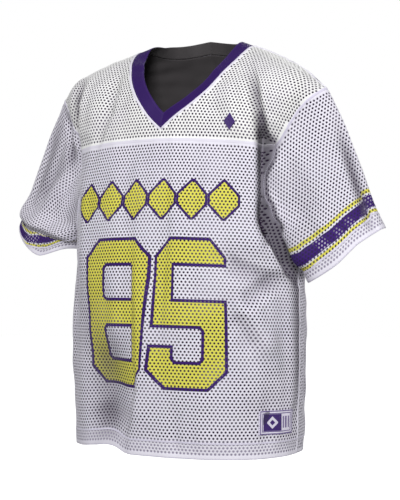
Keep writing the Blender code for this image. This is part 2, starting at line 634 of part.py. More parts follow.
def front_panel(name, rows, sleeves, necks, material):
    """The front between two seams: from hem to chest seam, or from chest seam to shoulders."""
    chart, parts = CHARTS["front"], []
    below_arm = rows < ARMPIT_V + CLOSE
    first_arm_row = np.searchsorted(ARMHOLE_ROWS, rows[~below_arm][0]) - (1 if below_arm.any() else 0)
    for sign, name_of_sleeve in ((1, "left"), (-1, "right")):
        p = front_columns(rows, name_of_sleeve)
        p[below_arm, -1] -= SEAM_GAP / 2
        v = np.repeat(rows[:, None], p.shape[1], axis=1)
        v[-1] = chart.raised(sign * p[-1], v[-1], -SEAM_GAP / 2)
        if rows[0] > 0:
            v[0] = chart.raised(sign * p[0], v[0], SEAM_GAP / 2)
        points, normals = chart.point(sign * p, v), chart.normal(sign * p, v)
        if rows[-1] == 2:
            normals[-1] = shoulder_normals(sign * p[-1])
            normals[1:, 0] = necks[sign].seam_normals[: necks[sign].front_count]
        seam = sleeves[name_of_sleeve].seam_of("front")[first_arm_row:]
        arm_rows = np.flatnonzero(rows >= ARMPIT_V - CLOSE)
        normals[arm_rows, -1] = seam[: len(arm_rows)]
        parts.append((points, normals, wall_at(v), sign < 0))
    return cloth_wall(name, parts, material)


def back_panel(sleeves, necks, material):
    """The back, in one piece from hem to shoulders."""
    chart, parts = CHARTS["back"], []
    rows = np.concatenate([LOW_ROWS[:-1], ARMHOLE_ROWS])
    for sign, name_of_sleeve in ((1, "left"), (-1, "right")):
        p = back_columns(rows)
        top = np.full(p.shape[1], 2.0)
        top[:BACK_NECK_COLUMNS] = neck_back_v(p[-1, :BACK_NECK_COLUMNS])
        v = np.where(rows[:, None] <= 1, rows[:, None], 1 + (rows[:, None] - 1) * (top - 1))
        p[rows < ARMPIT_V + CLOSE, -1] -= SEAM_GAP / 2
        seamed = np.arange(p.shape[1]) >= BACK_NECK_COLUMNS
        v[-1, seamed] = chart.raised(sign * p[-1, seamed], v[-1, seamed], -SEAM_GAP / 2)
        points, normals = chart.point(sign * p, v), chart.normal(sign * p, v)
        normals[-1, seamed] = shoulder_normals(sign * p[-1, seamed])
        normals[-1, : BACK_NECK_COLUMNS + 1] = necks[sign].seam_normals[: necks[sign].front_count - 2 : -1]
        normals[rows >= ARMPIT_V - CLOSE, -1] = sleeves[name_of_sleeve].seam_of("back")
        parts.append((points, normals, wall_at(v), sign > 0))
    return cloth_wall("back", parts, material)


def collar_band(necks, material):
    """The collar, mitred at the V's tip. Its halves share their points there and at the centre back."""
    bands = {sign: neck.band(COLLAR_ROWS) for sign, neck in necks.items()}
    for grids in zip(bands[1], bands[-1]):
        for end in (0, -1):
            shared = (grids[0][:, end] + grids[1][:, end]) / 2
            shared[:, 0] = 0
            grids[0][:, end] = grids[1][:, end] = shared
    parts = [(points, unit(normals), COLLAR_WALL, sign < 0) for sign, (points, normals) in bands.items()]
    return cloth_wall("collar_band", parts, material)


def hem_label(material):
    """A label sewn on the front, made from the front's points moved out."""
    chart = CHARTS["front"]
    half_height = LABEL_HEIGHT / (CHEST_SEAM_Z - HEM_Z) / 2
    p = LABEL_P + np.linspace(-0.5, 0.5, LABEL_COLUMNS + 1)[None] * LABEL_WIDTH
    v = LABEL_V + np.linspace(-1, 1, LABEL_ROWS + 1)[:, None] * half_height
    normals = chart.normal(p, v)
    points = chart.point(p, v) + normals * (SEAM_GAP + LABEL_WALL)
    return cloth_wall("hem_label", [(points, normals, LABEL_WALL, False)], material)


def main():
    for old in list(bpy.data.objects):
        bpy.data.objects.remove(old)
    sleeves = {name: Sleeve(name) for name in CUFFS}
    necks = {sign: NeckEdge(sign) for sign in (1, -1)}
    body_rows = np.concatenate([LOW_ROWS, ARM_ROWS[1:]])
    front_panel("front_body", body_rows, sleeves, necks, fabric("body_mesh", (0.86, 0.85, 0.88), 0.75))
    front_panel("front_yoke", CHEST_ROWS, sleeves, necks, fabric("yoke_mesh", (0.88, 0.88, 0.88), 0.72))
    back_panel(sleeves, necks, fabric("back_mesh", (0.86, 0.85, 0.88), 0.75))
    for name, sleeve in sleeves.items():
        sleeve.build(fabric("sleeve_mesh_" + name, (0.85, 0.84, 0.88), 0.75))
    collar_band(necks, fabric("collar_knit", (0.06, 0.02, 0.16), 0.55))
    hem_label(fabric("label_weave", (0.08, 0.03, 0.20), 0.60))


main()
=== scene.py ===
# A mesh lacrosse jersey in its worn, hollow form. Its front faces -Y, its left sleeve is at +X, and sizes are
# in metres. The cloth is a thin wall with a knitted net of open cells lying on it. The wall's dark colour is
# painted shade, seen through the holes and on its inside.
import math

import bpy
import numpy as np
from mathutils import Matrix


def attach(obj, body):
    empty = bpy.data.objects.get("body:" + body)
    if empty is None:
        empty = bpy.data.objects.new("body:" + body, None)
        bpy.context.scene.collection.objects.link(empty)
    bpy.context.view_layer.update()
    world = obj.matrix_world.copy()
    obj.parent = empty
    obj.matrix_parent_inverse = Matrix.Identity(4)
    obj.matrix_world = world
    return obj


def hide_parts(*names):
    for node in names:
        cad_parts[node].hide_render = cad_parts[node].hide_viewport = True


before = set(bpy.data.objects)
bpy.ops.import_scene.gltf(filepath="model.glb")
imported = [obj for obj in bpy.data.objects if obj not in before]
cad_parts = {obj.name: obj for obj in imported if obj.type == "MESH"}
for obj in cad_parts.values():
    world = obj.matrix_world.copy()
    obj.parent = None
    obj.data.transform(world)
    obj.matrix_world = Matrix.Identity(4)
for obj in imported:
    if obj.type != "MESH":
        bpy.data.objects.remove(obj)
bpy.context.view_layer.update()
print("jersey: frame loaded")

# sizes of the torso; a table's columns are read by name, one entry a row
body = {
    "hemZ": -0.743, "chestZ": -0.187, "chestDroop": 0.022, "halfGirth": 0.298, "roundness": 2.35,
    "packing": 0.12, "riseInward": 1.6, "lean": 0.020, "leanFromZ": -0.33, "leanToZ": -0.08,
    "riseNeckP": 0.11, "riseShoulderP": 0.26,
    "wall": 0.0016, "doubled": 0.0024, "doubledTall": 0.0265,  # the cloth, and the turned-up hem and cuffs
    "underNet": 0.0010,  # how far the wall's face lies under the net
    "unevenness": 0.0007,
}
sections = {
    "z": [-0.743, -0.640, -0.530, -0.420, -0.340, -0.260, -0.187],
    "halfWidth": [0.217, 0.221, 0.223, 0.223, 0.223, 0.224, 0.226],
    "front": [0.152, 0.152, 0.149, 0.142, 0.134, 0.122, 0.109],
    "back": [0.146, 0.145, 0.144, 0.142, 0.139, 0.134, 0.127],
    "centreY": [-0.030, -0.030, -0.030, -0.030, -0.030, -0.029, -0.028],
}
shoulderLine = {
    "x": [0.000, 0.060, 0.105, 0.145, 0.190, 0.235, 0.282, 0.320],
    "y": [0.000, 0.000, 0.000, -0.003, -0.009, -0.018, -0.025, -0.028],
    "z": [0.036, 0.018, -0.001, -0.016, -0.036, -0.062, -0.104, -0.152],
}
rises = {
    "front": {"atNeck": 1.50, "atShoulder": 0.85, "bulge": 0.030},
    "back": {"atNeck": 0.95, "atShoulder": 0.85, "bulge": 0.026},
}
armhole = {
    "v": [0.715, 0.727, 0.753, 0.810, 0.885, 0.970, 1.080, 1.300, 1.625, 1.850, 2.000],
    "front": [0.298, 0.268, 0.238, 0.220, 0.214, 0.224, 0.242, 0.268, 0.294, 0.305, 0.307],
    "back": [0.298, 0.276, 0.256, 0.244, 0.239, 0.243, 0.252, 0.272, 0.294, 0.305, 0.307],
}
neckFront = {
    "v": [1.075, 1.145, 1.240, 1.345, 1.470, 1.620, 1.850, 2.000],
    "left": [0.000, 0.022, 0.054, 0.079, 0.098, 0.112, 0.124, 0.127],
    "right": [0.000, 0.024, 0.047, 0.068, 0.087, 0.104, 0.123, 0.127],
}
neckBack = {"p": [0.000, 0.040, 0.080, 0.110, 0.127], "v": [1.700, 1.712, 1.760, 1.860, 2.000]}
# how far the hem is drawn up in front, next to the fold where it is set back
hemLift = {
    "p": [-0.240, -0.165, -0.125, -0.092, -0.072, -0.052, -0.035],
    "lift": [0.0000, 0.0040, 0.0090, 0.0125, 0.0095, 0.0020, 0.0000], "fadeV": 0.35,
}
armpitV, tipV, neckP = armhole["v"][0], neckFront["v"][0], neckBack["p"][-1]
bodyLength = body["chestZ"] - body["hemZ"]

# creases: points as (p, v), then width and depth, where a trough's depth is negative
torsoFolds = {
    "front": [
        # a pair of widths is for left and right of a spine that runs down, so that one side is steep
        ([(0.152, 1.70), (0.182, 1.46), (0.202, 1.24), (0.210, 1.00), (0.212, 0.88)], (0.017, 0.011), -0.012),
        ([(0.206, 1.20), (0.210, 1.02), (0.212, 0.88), (0.211, 0.76), (0.216, 0.69)], (0.023, 0.012), -0.026),
        ([(0.110, 1.58), (0.138, 1.36), (0.158, 1.16), (0.170, 0.97)], 0.034, 0.008),
        ([(-0.214, 1.75), (-0.230, 1.48), (-0.240, 1.25), (-0.238, 1.02), (-0.222, 0.86)], (0.026, 0.020), -0.016),
        ([(0.004, 1.06), (0.000, 0.86), (-0.012, 0.72)], 0.040, 0.004),
        ([(-0.034, 0.76), (-0.028, 0.61), (-0.025, 0.49), (-0.021, 0.39), (-0.019, 0.30), (-0.016, 0.22),
            (-0.026, 0.13), (-0.035, 0.06), (-0.035, -0.04)], (0.014, 0.050), 0.0085),
        ([(0.026, 1.08), (0.040, 0.86), (0.044, 0.70), (0.042, 0.54), (0.038, 0.42),
            (0.036, 0.28)], (0.016, 0.045), 0.0050),
        ([(-0.100, 0.42), (-0.090, 0.20), (-0.085, -0.02)], 0.075, -0.022),
        ([(0.212, 0.80), (0.220, 0.72), (0.242, 0.66), (0.264, 0.61), (0.285, 0.57)], (0.018, 0.030), -0.024),
        ([(0.270, 0.555), (0.205, 0.575), (0.160, 0.600), (0.132, 0.63)], (0.019, 0.032), -0.0100),
        ([(0.222, 0.68), (0.175, 0.68), (0.130, 0.70)], 0.036, 0.007),
        ([(0.250, 0.575), (0.204, 0.535), (0.178, 0.500), (0.160, 0.49)], 0.024, -0.0100),
        ([(0.150, 0.52), (0.180, 0.455), (0.204, 0.38), (0.222, 0.30)], (0.030, 0.034), 0.012),
        ([(0.246, 0.52), (0.244, 0.44), (0.258, 0.34), (0.266, 0.22)], (0.030, 0.022), -0.0040),
        ([(0.150, 0.46), (0.168, 0.40), (0.190, 0.32)], 0.028, -0.0070),
        # the smaller ones
        ([(-0.165, 1.62), (-0.162, 1.38), (-0.176, 1.14)], 0.026, 0.0045),
        ([(-0.138, 1.72), (-0.126, 1.45), (-0.128, 1.24), (-0.146, 1.08), (-0.160, 0.96)], (0.020, 0.013), -0.0065),
        ([(0.095, 1.40), (0.100, 1.22), (0.092, 1.08)], 0.016, -0.0018),
        ([(0.128, 1.52), (0.152, 1.30), (0.182, 1.08)], 0.011, -0.0022),
        ([(-0.065, 0.98), (-0.072, 0.84), (-0.066, 0.70)], 0.022, -0.0024),
        ([(0.110, 0.98), (0.104, 0.82), (0.112, 0.70)], 0.020, 0.0022),
        ([(-0.195, 0.92), (-0.178, 0.76), (-0.168, 0.55)], 0.026, 0.0045),
        ([(-0.255, 0.74), (-0.215, 0.58), (-0.190, 0.40)], 0.026, -0.0060),
        ([(-0.235, 0.52), (-0.215, 0.36), (-0.210, 0.18)], 0.024, 0.0038),
        ([(-0.275, 0.55), (-0.256, 0.38), (-0.250, 0.16)], 0.020, -0.0034),
        ([(-0.085, 0.62), (-0.080, 0.45), (-0.075, 0.30)], 0.024, 0.0028),
        ([(0.225, 0.25), (0.215, 0.12), (0.222, 0.00)], 0.024, -0.0040),
        ([(0.110, 0.24), (0.100, 0.12), (0.104, -0.01)], 0.022, 0.0032),
        ([(0.060, 0.17), (0.052, 0.08), (0.056, -0.01)], 0.018, -0.0034),
        ([(0.268, 0.42), (0.272, 0.25), (0.266, 0.06)], 0.018, 0.0026),
    ],
    "back": [
        ([(0.010, 1.45), (0.020, 1.00), (0.012, 0.55), (0.030, 0.15)], 0.050, -0.008),
        ([(-0.120, 1.30), (-0.105, 0.95), (-0.090, 0.60)], 0.045, 0.007),
        ([(0.150, 1.35), (0.135, 0.90), (0.140, 0.50)], 0.045, 0.008),
        ([(-0.250, 0.60), (-0.180, 0.50), (-0.140, 0.35)], 0.042, -0.010),
        ([(0.255, 0.60), (0.190, 0.46), (0.165, 0.28)], 0.042, -0.009),
        ([(-0.060, 0.38), (-0.070, 0.18), (-0.062, -0.02)], 0.060, 0.012),
        ([(0.110, 0.30), (0.105, 0.12), (0.112, -0.02)], 0.055, -0.013),
        # the smaller ones
        ([(-0.210, 1.60), (-0.225, 1.25), (-0.215, 0.95)], 0.028, -0.0060),
        ([(0.205, 1.55), (0.222, 1.20), (0.210, 0.92)], 0.028, -0.0055),
        ([(-0.050, 1.50), (-0.060, 1.15), (-0.045, 0.80)], 0.024, 0.0030),
        ([(0.080, 1.52), (0.090, 1.20), (0.078, 0.86)], 0.024, 0.0026),
        ([(-0.190, 0.80), (-0.150, 0.66), (-0.090, 0.60)], 0.024, 0.0036),
        ([(0.215, 0.74), (0.165, 0.66), (0.110, 0.62)], 0.026, -0.0036),
        ([(-0.215, 0.34), (-0.205, 0.16), (-0.212, 0.00)], 0.026, -0.0050),
        ([(-0.140, 0.26), (-0.130, 0.12), (-0.136, 0.00)], 0.024, 0.0036),
        ([(0.030, 0.30), (0.026, 0.14), (0.032, 0.00)], 0.022, -0.0034),
        ([(0.200, 0.30), (0.195, 0.14), (0.205, 0.00)], 0.026, 0.0046),
        ([(0.262, 0.44), (0.255, 0.26), (0.262, 0.10)], 0.020, -0.0030),
    ],
}

# where cloth lies in shade without a trough of its own: points, width and amount of shade
torsoShades = {
    "front": [
        ([(0.236, 1.02), (0.244, 0.90), (0.252, 0.80), (0.262, 0.72), (0.270, 0.65)], 0.046, 1.6),
        ([(0.210, 1.14), (0.214, 1.01), (0.214, 0.93), (0.215, 0.86), (0.216, 0.80),
            (0.222, 0.74)], (0.009, 0.024), 1.9),
        ([(0.288, 0.66), (0.292, 0.50), (0.296, 0.30), (0.297, 0.06)], 0.034, 0.95),
        ([(-0.246, 1.02), (-0.270, 0.84), (-0.285, 0.68)], 0.040, 0.60),
        ([(-0.270, 0.62), (-0.268, 0.40), (-0.262, 0.10)], 0.070, 0.40),
        ([(-0.205, 0.60), (-0.150, 0.44), (-0.120, 0.30), (-0.112, 0.16)], 0.055, 0.34),
        ([(-0.120, 0.17), (-0.105, 0.08), (-0.100, -0.02)], 0.050, 0.36),
        ([(0.150, 0.19), (0.210, 0.16), (0.250, 0.19)], 0.030, 0.16),
    ],
    "back": [
        ([(0.246, 1.02), (0.268, 0.84), (0.282, 0.68)], 0.042, 0.70),
        ([(-0.246, 1.02), (-0.268, 0.84), (-0.282, 0.68)], 0.042, 0.70),
    ],
}
troughDepth = 0.014  # how deep a steep trough is when its cloth is fully in shade
tableRows = 100  # rows of points between the hem and the chest seam, and between there and the shoulder seam


def ease(share):
    # s squared times (3 - 2s): from 0 to 1 with level ends
    share = np.clip(share, 0, 1)
    return share * share * (3 - 2 * share)


def unit(vectors):
    # each vector divided by its length
    return vectors / np.maximum(np.linalg.norm(vectors, axis=-1, keepdims=True), 1e-12)


def together(*parts):
    # numbers or arrays, spread to one shape, as the last axis of a new array
    return np.stack(np.broadcast_arrays(*parts), axis=-1)


def column(table, key, value, at):
    # a cubic between the table's rows, whose slope at a row is the weighted mean of its two neighbours'
    keys, values = np.array(table[key], float), np.array(table[value], float)
    step = np.diff(keys)
    rise = np.diff(values) / step
    middle = (rise[:-1] * step[1:] + rise[1:] * step[:-1]) / (step[:-1] + step[1:])
    slope = np.concatenate([rise[:1], middle, rise[-1:]])
    at = np.clip(at, keys[0], keys[-1])
    i = np.clip(np.searchsorted(keys, at) - 1, 0, len(step) - 1)
    t = (at - keys[i]) / step[i]
    ends = values[i] + (3 * t**2 - 2 * t**3) * (values[i + 1] - values[i])
    return ends + step[i] * ((t**3 - 2 * t**2 + t) * slope[i] + (t**3 - t**2) * slope[i + 1])


def runOf(points):
    # distance along each column of points from its first row
    steps = np.linalg.norm(np.diff(points, axis=0), axis=-1)
    return np.concatenate([np.zeros((1,) + steps.shape[1:]), np.cumsum(steps, axis=0)])


def along(points, run, at):
    # the points of a path at distances along it, straight between its rows
    return together(*(np.interp(at, run, values) for values in points.T))


def readTable(table, row, col):
    # each value is the mean of the four table entries round it, weighted by nearness
    i = np.clip(row.astype(int), 0, table.shape[0] - 2)
    j = np.clip(col.astype(int), 0, table.shape[1] - 2)
    a, b = row - i, col - j
    if table.ndim == 3:
        a, b = a[..., None], b[..., None]
    near = table[i, j] * (1 - b) + table[i, j + 1] * b
    return near * (1 - a) + (table[i + 1, j] * (1 - b) + table[i + 1, j + 1] * b) * a


def gridNormals(points, sign):
    # the cross product of the steps along the two directions of a grid
    return unit(np.cross(np.gradient(points, axis=1), np.gradient(points, axis=0))) * sign


def foldDepth(points, spines, normals):
    # each fold adds depth times (1 - (distance / width) squared) squared, fading out towards both ends; a pair
    # of widths holds to the left and to the right of a spine that runs down, seen from outside
    flat, flatNormals = points.reshape(-1, 3), normals.reshape(-1, 3)
    total = np.zeros(len(flat))
    for line, widths, depth in spines:
        left, right = widths if isinstance(widths, tuple) else (widths, widths)
        wide = max(left, right)
        near = np.flatnonzero(np.all((flat > line.min(0) - wide) & (flat < line.max(0) + wide), axis=1))
        steps = np.diff(line, axis=0)
        offset = flat[near][:, None] - line[:-1]
        share = np.clip((offset * steps).sum(-1) / (steps**2).sum(-1), 0, 1)
        aside = offset - share[..., None] * steps
        distance = np.linalg.norm(aside, axis=-1)
        nearest = distance.argmin(axis=1)
        rows = np.arange(len(near))
        place = (nearest + share[rows, nearest]) / len(steps)
        onLeft = (aside[rows, nearest] * np.cross(steps[nearest], flatNormals[near])).sum(-1) > 0
        across = np.clip(1 - (distance[rows, nearest] / np.where(onLeft, left, right)) ** 2, 0, 1) ** 2
        total[near] += depth * across * (0.2 + 0.8 * ease(np.minimum(place, 1 - place) / 0.3))
    return total.reshape(points.shape[:-1])


def shadeOf(points, spines, normals, shadeSpines):
    # the amount of painted shade at each point: from the listed shade spines, and from how far into a trough it lies,
    # where a trough counts by depth over width, its steepness
    troughs = [(line, w, depth * min(1, -1.2 * depth / np.min(w))) for line, w, depth in spines if depth < 0]
    return foldDepth(points, shadeSpines, normals) - foldDepth(points, troughs, normals) / troughDepth


def spineOf(fold, surface):
    # a fold's points laid on a surface, with six steps between neighbours
    points, width, depth = fold
    knots = np.array(points, float)
    share = np.linspace(0, len(knots) - 1, 6 * (len(knots) - 1) + 1)
    ways = along(knots, np.arange(len(knots)), share)
    return surface(ways[:, 0], ways[:, 1]), width, depth


def ripple(a, b, height, seed):
    # a slack cloth's slight unevenness: ten sines of wavelengths from 30 to 90 mm in seeded directions
    rng = np.random.default_rng(seed)
    turns, lengths, starts = (rng.uniform(low, high, 10) for low, high in ((0, math.pi), (0.03, 0.09), (0, 6.28)))
    waves = [
        np.sin(2 * math.pi * (a * math.cos(turn) + b * math.sin(turn)) / length + start)
        for turn, length, start in zip(turns, lengths, starts)
    ]
    return height * sum(waves) / 3.2


class TorsoSide:
    # the front or back of the torso: p is the distance round the body from its centre line, and v the height,
    # 0 at the hem, 1 at the chest seam and 2 at the shoulder seam
    def __init__(self, name):
        self.name, self.sign = name, -1 if name == "front" else 1
        self.halfP = np.linspace(0, 1.2 * body["halfGirth"], 181)
        seam = body["chestZ"] - body["chestDroop"] * (self.halfP / body["halfGirth"]) ** 2
        levels = np.linspace(body["hemZ"], body["chestZ"], 120)
        rings = np.array([self.section(z, self.halfP) for z in levels])
        z = body["hemZ"] + (seam - body["hemZ"]) * np.linspace(0, 1, tableRows)[:, None]
        level = np.stack([along(rings[:, k], levels, z[:, k]) for k in range(len(self.halfP))], axis=1)
        self.lower = np.concatenate([level, z[..., None]], axis=-1)
        self.upper, self.upperLength = self.overShoulder(self.lower[-1], self.halfP)

    def section(self, z, p):
        # a superellipse at one height, read by the distance along it
        near = column(sections, "z", self.name, z)
        far = column(sections, "z", "back" if self.name == "front" else "front", z)
        turn = np.linspace(0, math.pi / 2, 241)
        turn = turn - body["packing"] * np.sin(4 * turn)
        across = column(sections, "z", "halfWidth", z) * np.sin(turn) ** (2 / body["roundness"])
        ahead = np.cos(turn) ** (2 / body["roundness"])
        nearSide = together(across, self.sign * near * ahead)
        farSide = together(across, -self.sign * far * ahead)[-2::-1]
        ring = np.concatenate([nearSide, farSide])
        run = runOf(ring)
        points = along(ring, run, p / body["halfGirth"] * run[len(nearSide) - 1])
        return points + (0, column(sections, "z", "centreY", z))

    def overShoulder(self, chest, p):
        # from chest seam to shoulder line as a quarter turn, in rows of even spacing
        x = np.linspace(0, shoulderLine["x"][-1], 400)
        line = together(x, *(column(shoulderLine, "x", key, x) for key in ("y", "z")))
        top = along(line, runOf(line), p)
        rise = rises[self.name]
        outer = ease((p - body["riseNeckP"]) / (body["riseShoulderP"] - body["riseNeckP"]))
        turn = np.linspace(0, math.pi / 2, 160)[:, None]
        power = rise["atNeck"] + (rise["atShoulder"] - rise["atNeck"]) * outer
        shares = together(np.sin(turn) ** body["riseInward"], 1 - np.cos(turn) ** power, np.sin(turn))
        points = chest + (top - chest) * shares
        points[..., 1] += self.sign * rise["bulge"] * outer * np.sin(2 * turn)
        run = runOf(points)
        even = np.linspace(0, 1, tableRows)
        return np.stack([along(points[:, k], run[:, k], even * run[-1, k]) for k in range(len(p))], axis=1), run[-1]

    def base(self, p, v):
        # points before any fold
        p, v = np.broadcast_arrays(np.asarray(p, float), np.asarray(v, float))
        col = np.clip(np.abs(p) / self.halfP[-1], 0, 1) * (len(self.halfP) - 1)
        low = readTable(self.lower, v * (tableRows - 1), col)
        high = readTable(self.upper, (v - 1) * (tableRows - 1), col)
        points = np.where(v[..., None] <= 1, low, high)
        points[..., 0] *= np.where(p < 0, -1, 1)
        height = ease((points[..., 2] - body["leanFromZ"]) / (body["leanToZ"] - body["leanFromZ"]))
        points[..., 2] -= body["lean"] * points[..., 0] * height
        if self.name == "front":
            points[..., 2] += column(hemLift, "p", "lift", p) * ease(1 - v / hemLift["fadeV"])
        return points

    def bake(self, spines):
        # a fine table of folded points, from which everything is read
        self.ps = np.linspace(-0.345, 0.345, 277)
        self.vs = np.concatenate([np.linspace(-0.02, 1, 200), np.linspace(1, 2, 150)[1:]])
        p, v = np.meshgrid(self.ps, self.vs)
        points = self.base(p, v)
        normals = gridNormals(points, -self.sign)
        shadeSpines = [spineOf(fold, self.base) for fold in torsoShades[self.name]]
        self.shade = shadeOf(points, spines, normals, shadeSpines)
        lift = foldDepth(points, spines, normals)
        lift += ripple(p, v * 0.45, body["unevenness"], 5 if self.name == "front" else 8)
        self.points = points + normals * lift[..., None]
        self.normals = gridNormals(self.points, -self.sign)

    def spot(self, p, v):
        # the row and column of (p, v) in the baked tables
        return np.interp(v, self.vs, np.arange(len(self.vs))), np.interp(p, self.ps, np.arange(len(self.ps)))

    def at(self, p, v, out=0.0):
        # the point and normal at (p, v), moved out by a distance
        spot = self.spot(*np.broadcast_arrays(np.asarray(p, float), np.asarray(v, float)))
        normals = unit(readTable(self.normals, *spot))
        return readTable(self.points, *spot) + normals * np.asarray(out)[..., None], normals

    def trough(self, p, v):
        # the amount of painted shade: 0 on flat cloth and ridges, 1 deep in a trough or fully in a listed shade
        return np.clip(readTable(self.shade, *self.spot(p, v)), 0, 1)

    def rowHeight(self, p):
        # how long the cloth is above the chest seam on each column
        return np.interp(np.abs(p), self.halfP, self.upperLength)

    def place(self, p, v, out):
        # points moved out, the pattern's coordinates and the shade, as the net asks for them
        x = printX(p, v) if self.name == "front" else p
        return self.at(p, v, out)[0], together(x, v * bodyLength), self.trough(p, v)


sides = {name: TorsoSide(name) for name in torsoFolds}
allSpines = [spineOf(fold, sides[name].base) for name, folds in torsoFolds.items() for fold in folds]
for side in sides.values():
    side.bake(allSpines)
front, back = sides["front"], sides["back"]
shared = unit(front.normals[-1] + back.normals[-1])
for side in sides.values():
    mix = ease((side.vs - 1.9) / 0.1)[:, None, None]
    side.normals = unit(side.normals * (1 - mix) + shared * mix)
print("jersey: torso worked out")


def armEdge(name, v):
    # p of a panel's outer edge: the side seam up to the armpit, then the armhole
    return np.where(v <= armpitV, body["halfGirth"], column(armhole, "v", name, v))


def neckFrontP(v, sign):
    # p of the neckline on one side of the front: 0 up to the V's tip
    left, right = (column(neckFront, "v", name, v) for name in ("left", "right"))
    return np.where(v <= tipV, 0, np.where(np.asarray(sign) > 0, left, right))


def neckBackV(p):
    # v of the back's upper edge: the neckline, then the shoulder seam
    return np.where(np.abs(p) >= neckP, 2.0, column(neckBack, "p", "v", np.abs(p)))


# sleeves: points are named by the angle round from the top over the front, and t, the way to the cuff
sleeveForms = {
    "left": {
        "sign": 1, "centre": (0.308, -0.016, -0.393), "toOuter": (0.067, 0.008, 0.044),
        "toFront": (-0.001, -0.057, -0.017), "lift": 0.000, "axis": (0.50, 0.00, -0.86),
        "trim": [(-165, 0.0), (-130, 0.007), (-90, 0.0095), (-50, 0.006), (-20, 0.003), (24, 0.0090), (54, 0.0100),
            (88, 0.0)],
        "stripeShift": [(-90, 0.0), (-40, 0.012), (-5, 0.0175), (14, 0.0215), (16, 0.0150), (29, 0.0120),
            (39, 0.0105), (60, 0.0065), (84, 0.0080), (100, 0.0075), (124, 0.002), (148, 0.0)],
        "tuck": [(-180, 0.3), (180, 0.3)],
        "folds": [
            ([(6, 0.20), (11, 0.45), (16, 0.68), (20, 0.82), (25, 1.02)], (0.018, 0.011), -0.010),
            ([(84, 0.14), (88, 0.45), (96, 0.80)], 0.024, -0.0045),
            ([(152, 0.08), (148, 0.32), (144, 0.58), (142, 0.80)], (0.040, 0.044), 0.014),
            ([(215, 0.15), (235, 0.50), (250, 0.85)], 0.030, -0.008),
            ([(300, 0.20), (305, 0.55), (315, 0.90)], 0.030, 0.006),
            ([(60, 0.08), (66, 0.35), (72, 0.65)], 0.022, 0.0026),
            ([(130, 0.20), (128, 0.50), (135, 0.85)], 0.020, 0.0026),
            ([(268, 0.25), (275, 0.55), (272, 0.95)], 0.018, 0.0030),
            ([(340, 0.10), (335, 0.45), (342, 0.80)], 0.020, -0.0028),
        ],
        "shades": [
            ([(58, 0.00), (80, 0.00), (100, 0.01), (125, 0.02), (150, 0.03), (175, 0.04)], 0.013, 1.5),
            ([(184, 0.02), (186, 0.40), (188, 0.90)], 0.036, 0.80),
            ([(70, 0.10), (76, 0.36), (84, 0.60)], 0.030, 0.26),
            ([(14, 0.25), (18, 0.50), (22, 0.74)], 0.014, 0.28),
            ([(112, 0.40), (118, 0.56), (120, 0.72)], 0.030, 0.24),
            ([(62, 0.06), (70, 0.45), (76, 0.80)], 0.100, 0.12),
        ],
    },
    "right": {
        "sign": -1, "centre": (-0.310, -0.025, -0.354), "toOuter": (-0.075, 0.005, 0.028),
        "toFront": (0.012, -0.060, -0.040), "lift": 0.022, "axis": (-0.45, 0.10, -0.88),
        "trim": [(-180, 0.0), (180, 0.0)],
        "stripeShift": [(-80, 0.0), (-40, -0.008), (-10, -0.022), (8, -0.032), (22, -0.037), (38, -0.031),
            (50, -0.026), (59, -0.022), (70, -0.011), (86, 0.001), (120, 0.0)],
        "tuck": [(-180, 0.3), (14, 0.3), (19, 0.0270), (45, 0.0433), (62, 0.0527), (75, 0.0540), (90, 0.0555),
            (116, 0.0362), (135, 0.0235), (157, 0.0180), (172, 0.0250), (180, 0.3)],
        "folds": [
            ([(62, 0.20), (48, 0.42), (38, 0.68)], 0.024, -0.008),
            ([(14, 0.02), (39, 0.11), (56, 0.18), (68, 0.30)], 0.017, -0.011),
            ([(-30, 0.74), (0, 0.81), (22, 0.825), (45, 0.785), (62, 0.745), (90, 0.690), (116, 0.685),
                (135, 0.68), (155, 0.60)], (0.011, 0.034), 0.012),
            ([(66, 0.92), (90, 0.88), (120, 0.86)], 0.014, -0.004),
            ([(12, 0.22), (18, 0.50), (24, 0.74)], 0.014, -0.0050),
            ([(30, 0.14), (31, 0.42), (33, 0.66)], 0.012, 0.0030),
            ([(88, 0.14), (82, 0.38), (72, 0.62)], 0.018, 0.0040),
            ([(120, 0.15), (115, 0.40), (105, 0.60)], 0.026, -0.005),
            ([(230, 0.20), (240, 0.55), (255, 0.90)], 0.030, -0.008),
            ([(200, 0.20), (205, 0.50), (212, 0.85)], 0.020, 0.0030),
            ([(300, 0.15), (296, 0.50), (305, 0.88)], 0.024, 0.0036),
            ([(338, 0.10), (330, 0.45), (325, 0.80)], 0.020, -0.0030),
        ],
        "shades": [
            ([(184, 0.02), (186, 0.40), (188, 0.90)], 0.040, 0.80),
            ([(14, 0.04), (20, 0.25), (26, 0.48), (32, 0.70)], 0.024, 0.45),
            ([(150, 0.02), (128, 0.22), (120, 0.44), (118, 0.62)], 0.034, 0.32),
            ([(14, 0.89), (30, 0.86), (46, 0.815), (62, 0.78), (90, 0.725), (116, 0.725), (140, 0.70)], 0.010, 0.45),
            ([(40, 0.10), (46, 0.40), (52, 0.70)], 0.075, 0.30),
            ([(120, 0.98), (80, 0.98), (40, 0.97)], 0.040, 0.24),
        ],
    },
}
sleeveTurn = {
    "leave": 0.68, "arrive": 0.38, "drop": 0.45, "armpitDrop": 0.90, "armpitOut": 0.70, "armpitAway": 0.70,
    "easeIn": 0.15, "radius": 0.075, "hiddenTuck": 0.0725,  # the print's height just above what a tuck hides
}


def relaxedRing(ring, times):
    # each row of a closed ring drawn towards the mean of its neighbours; the last row repeats the first
    for _ in range(times):
        ring = (np.roll(ring[:-1], 1, axis=0) + 2 * ring[:-1] + np.roll(ring[:-1], -1, axis=0)) / 4
        ring = np.concatenate([ring, ring[:1]])
    return ring


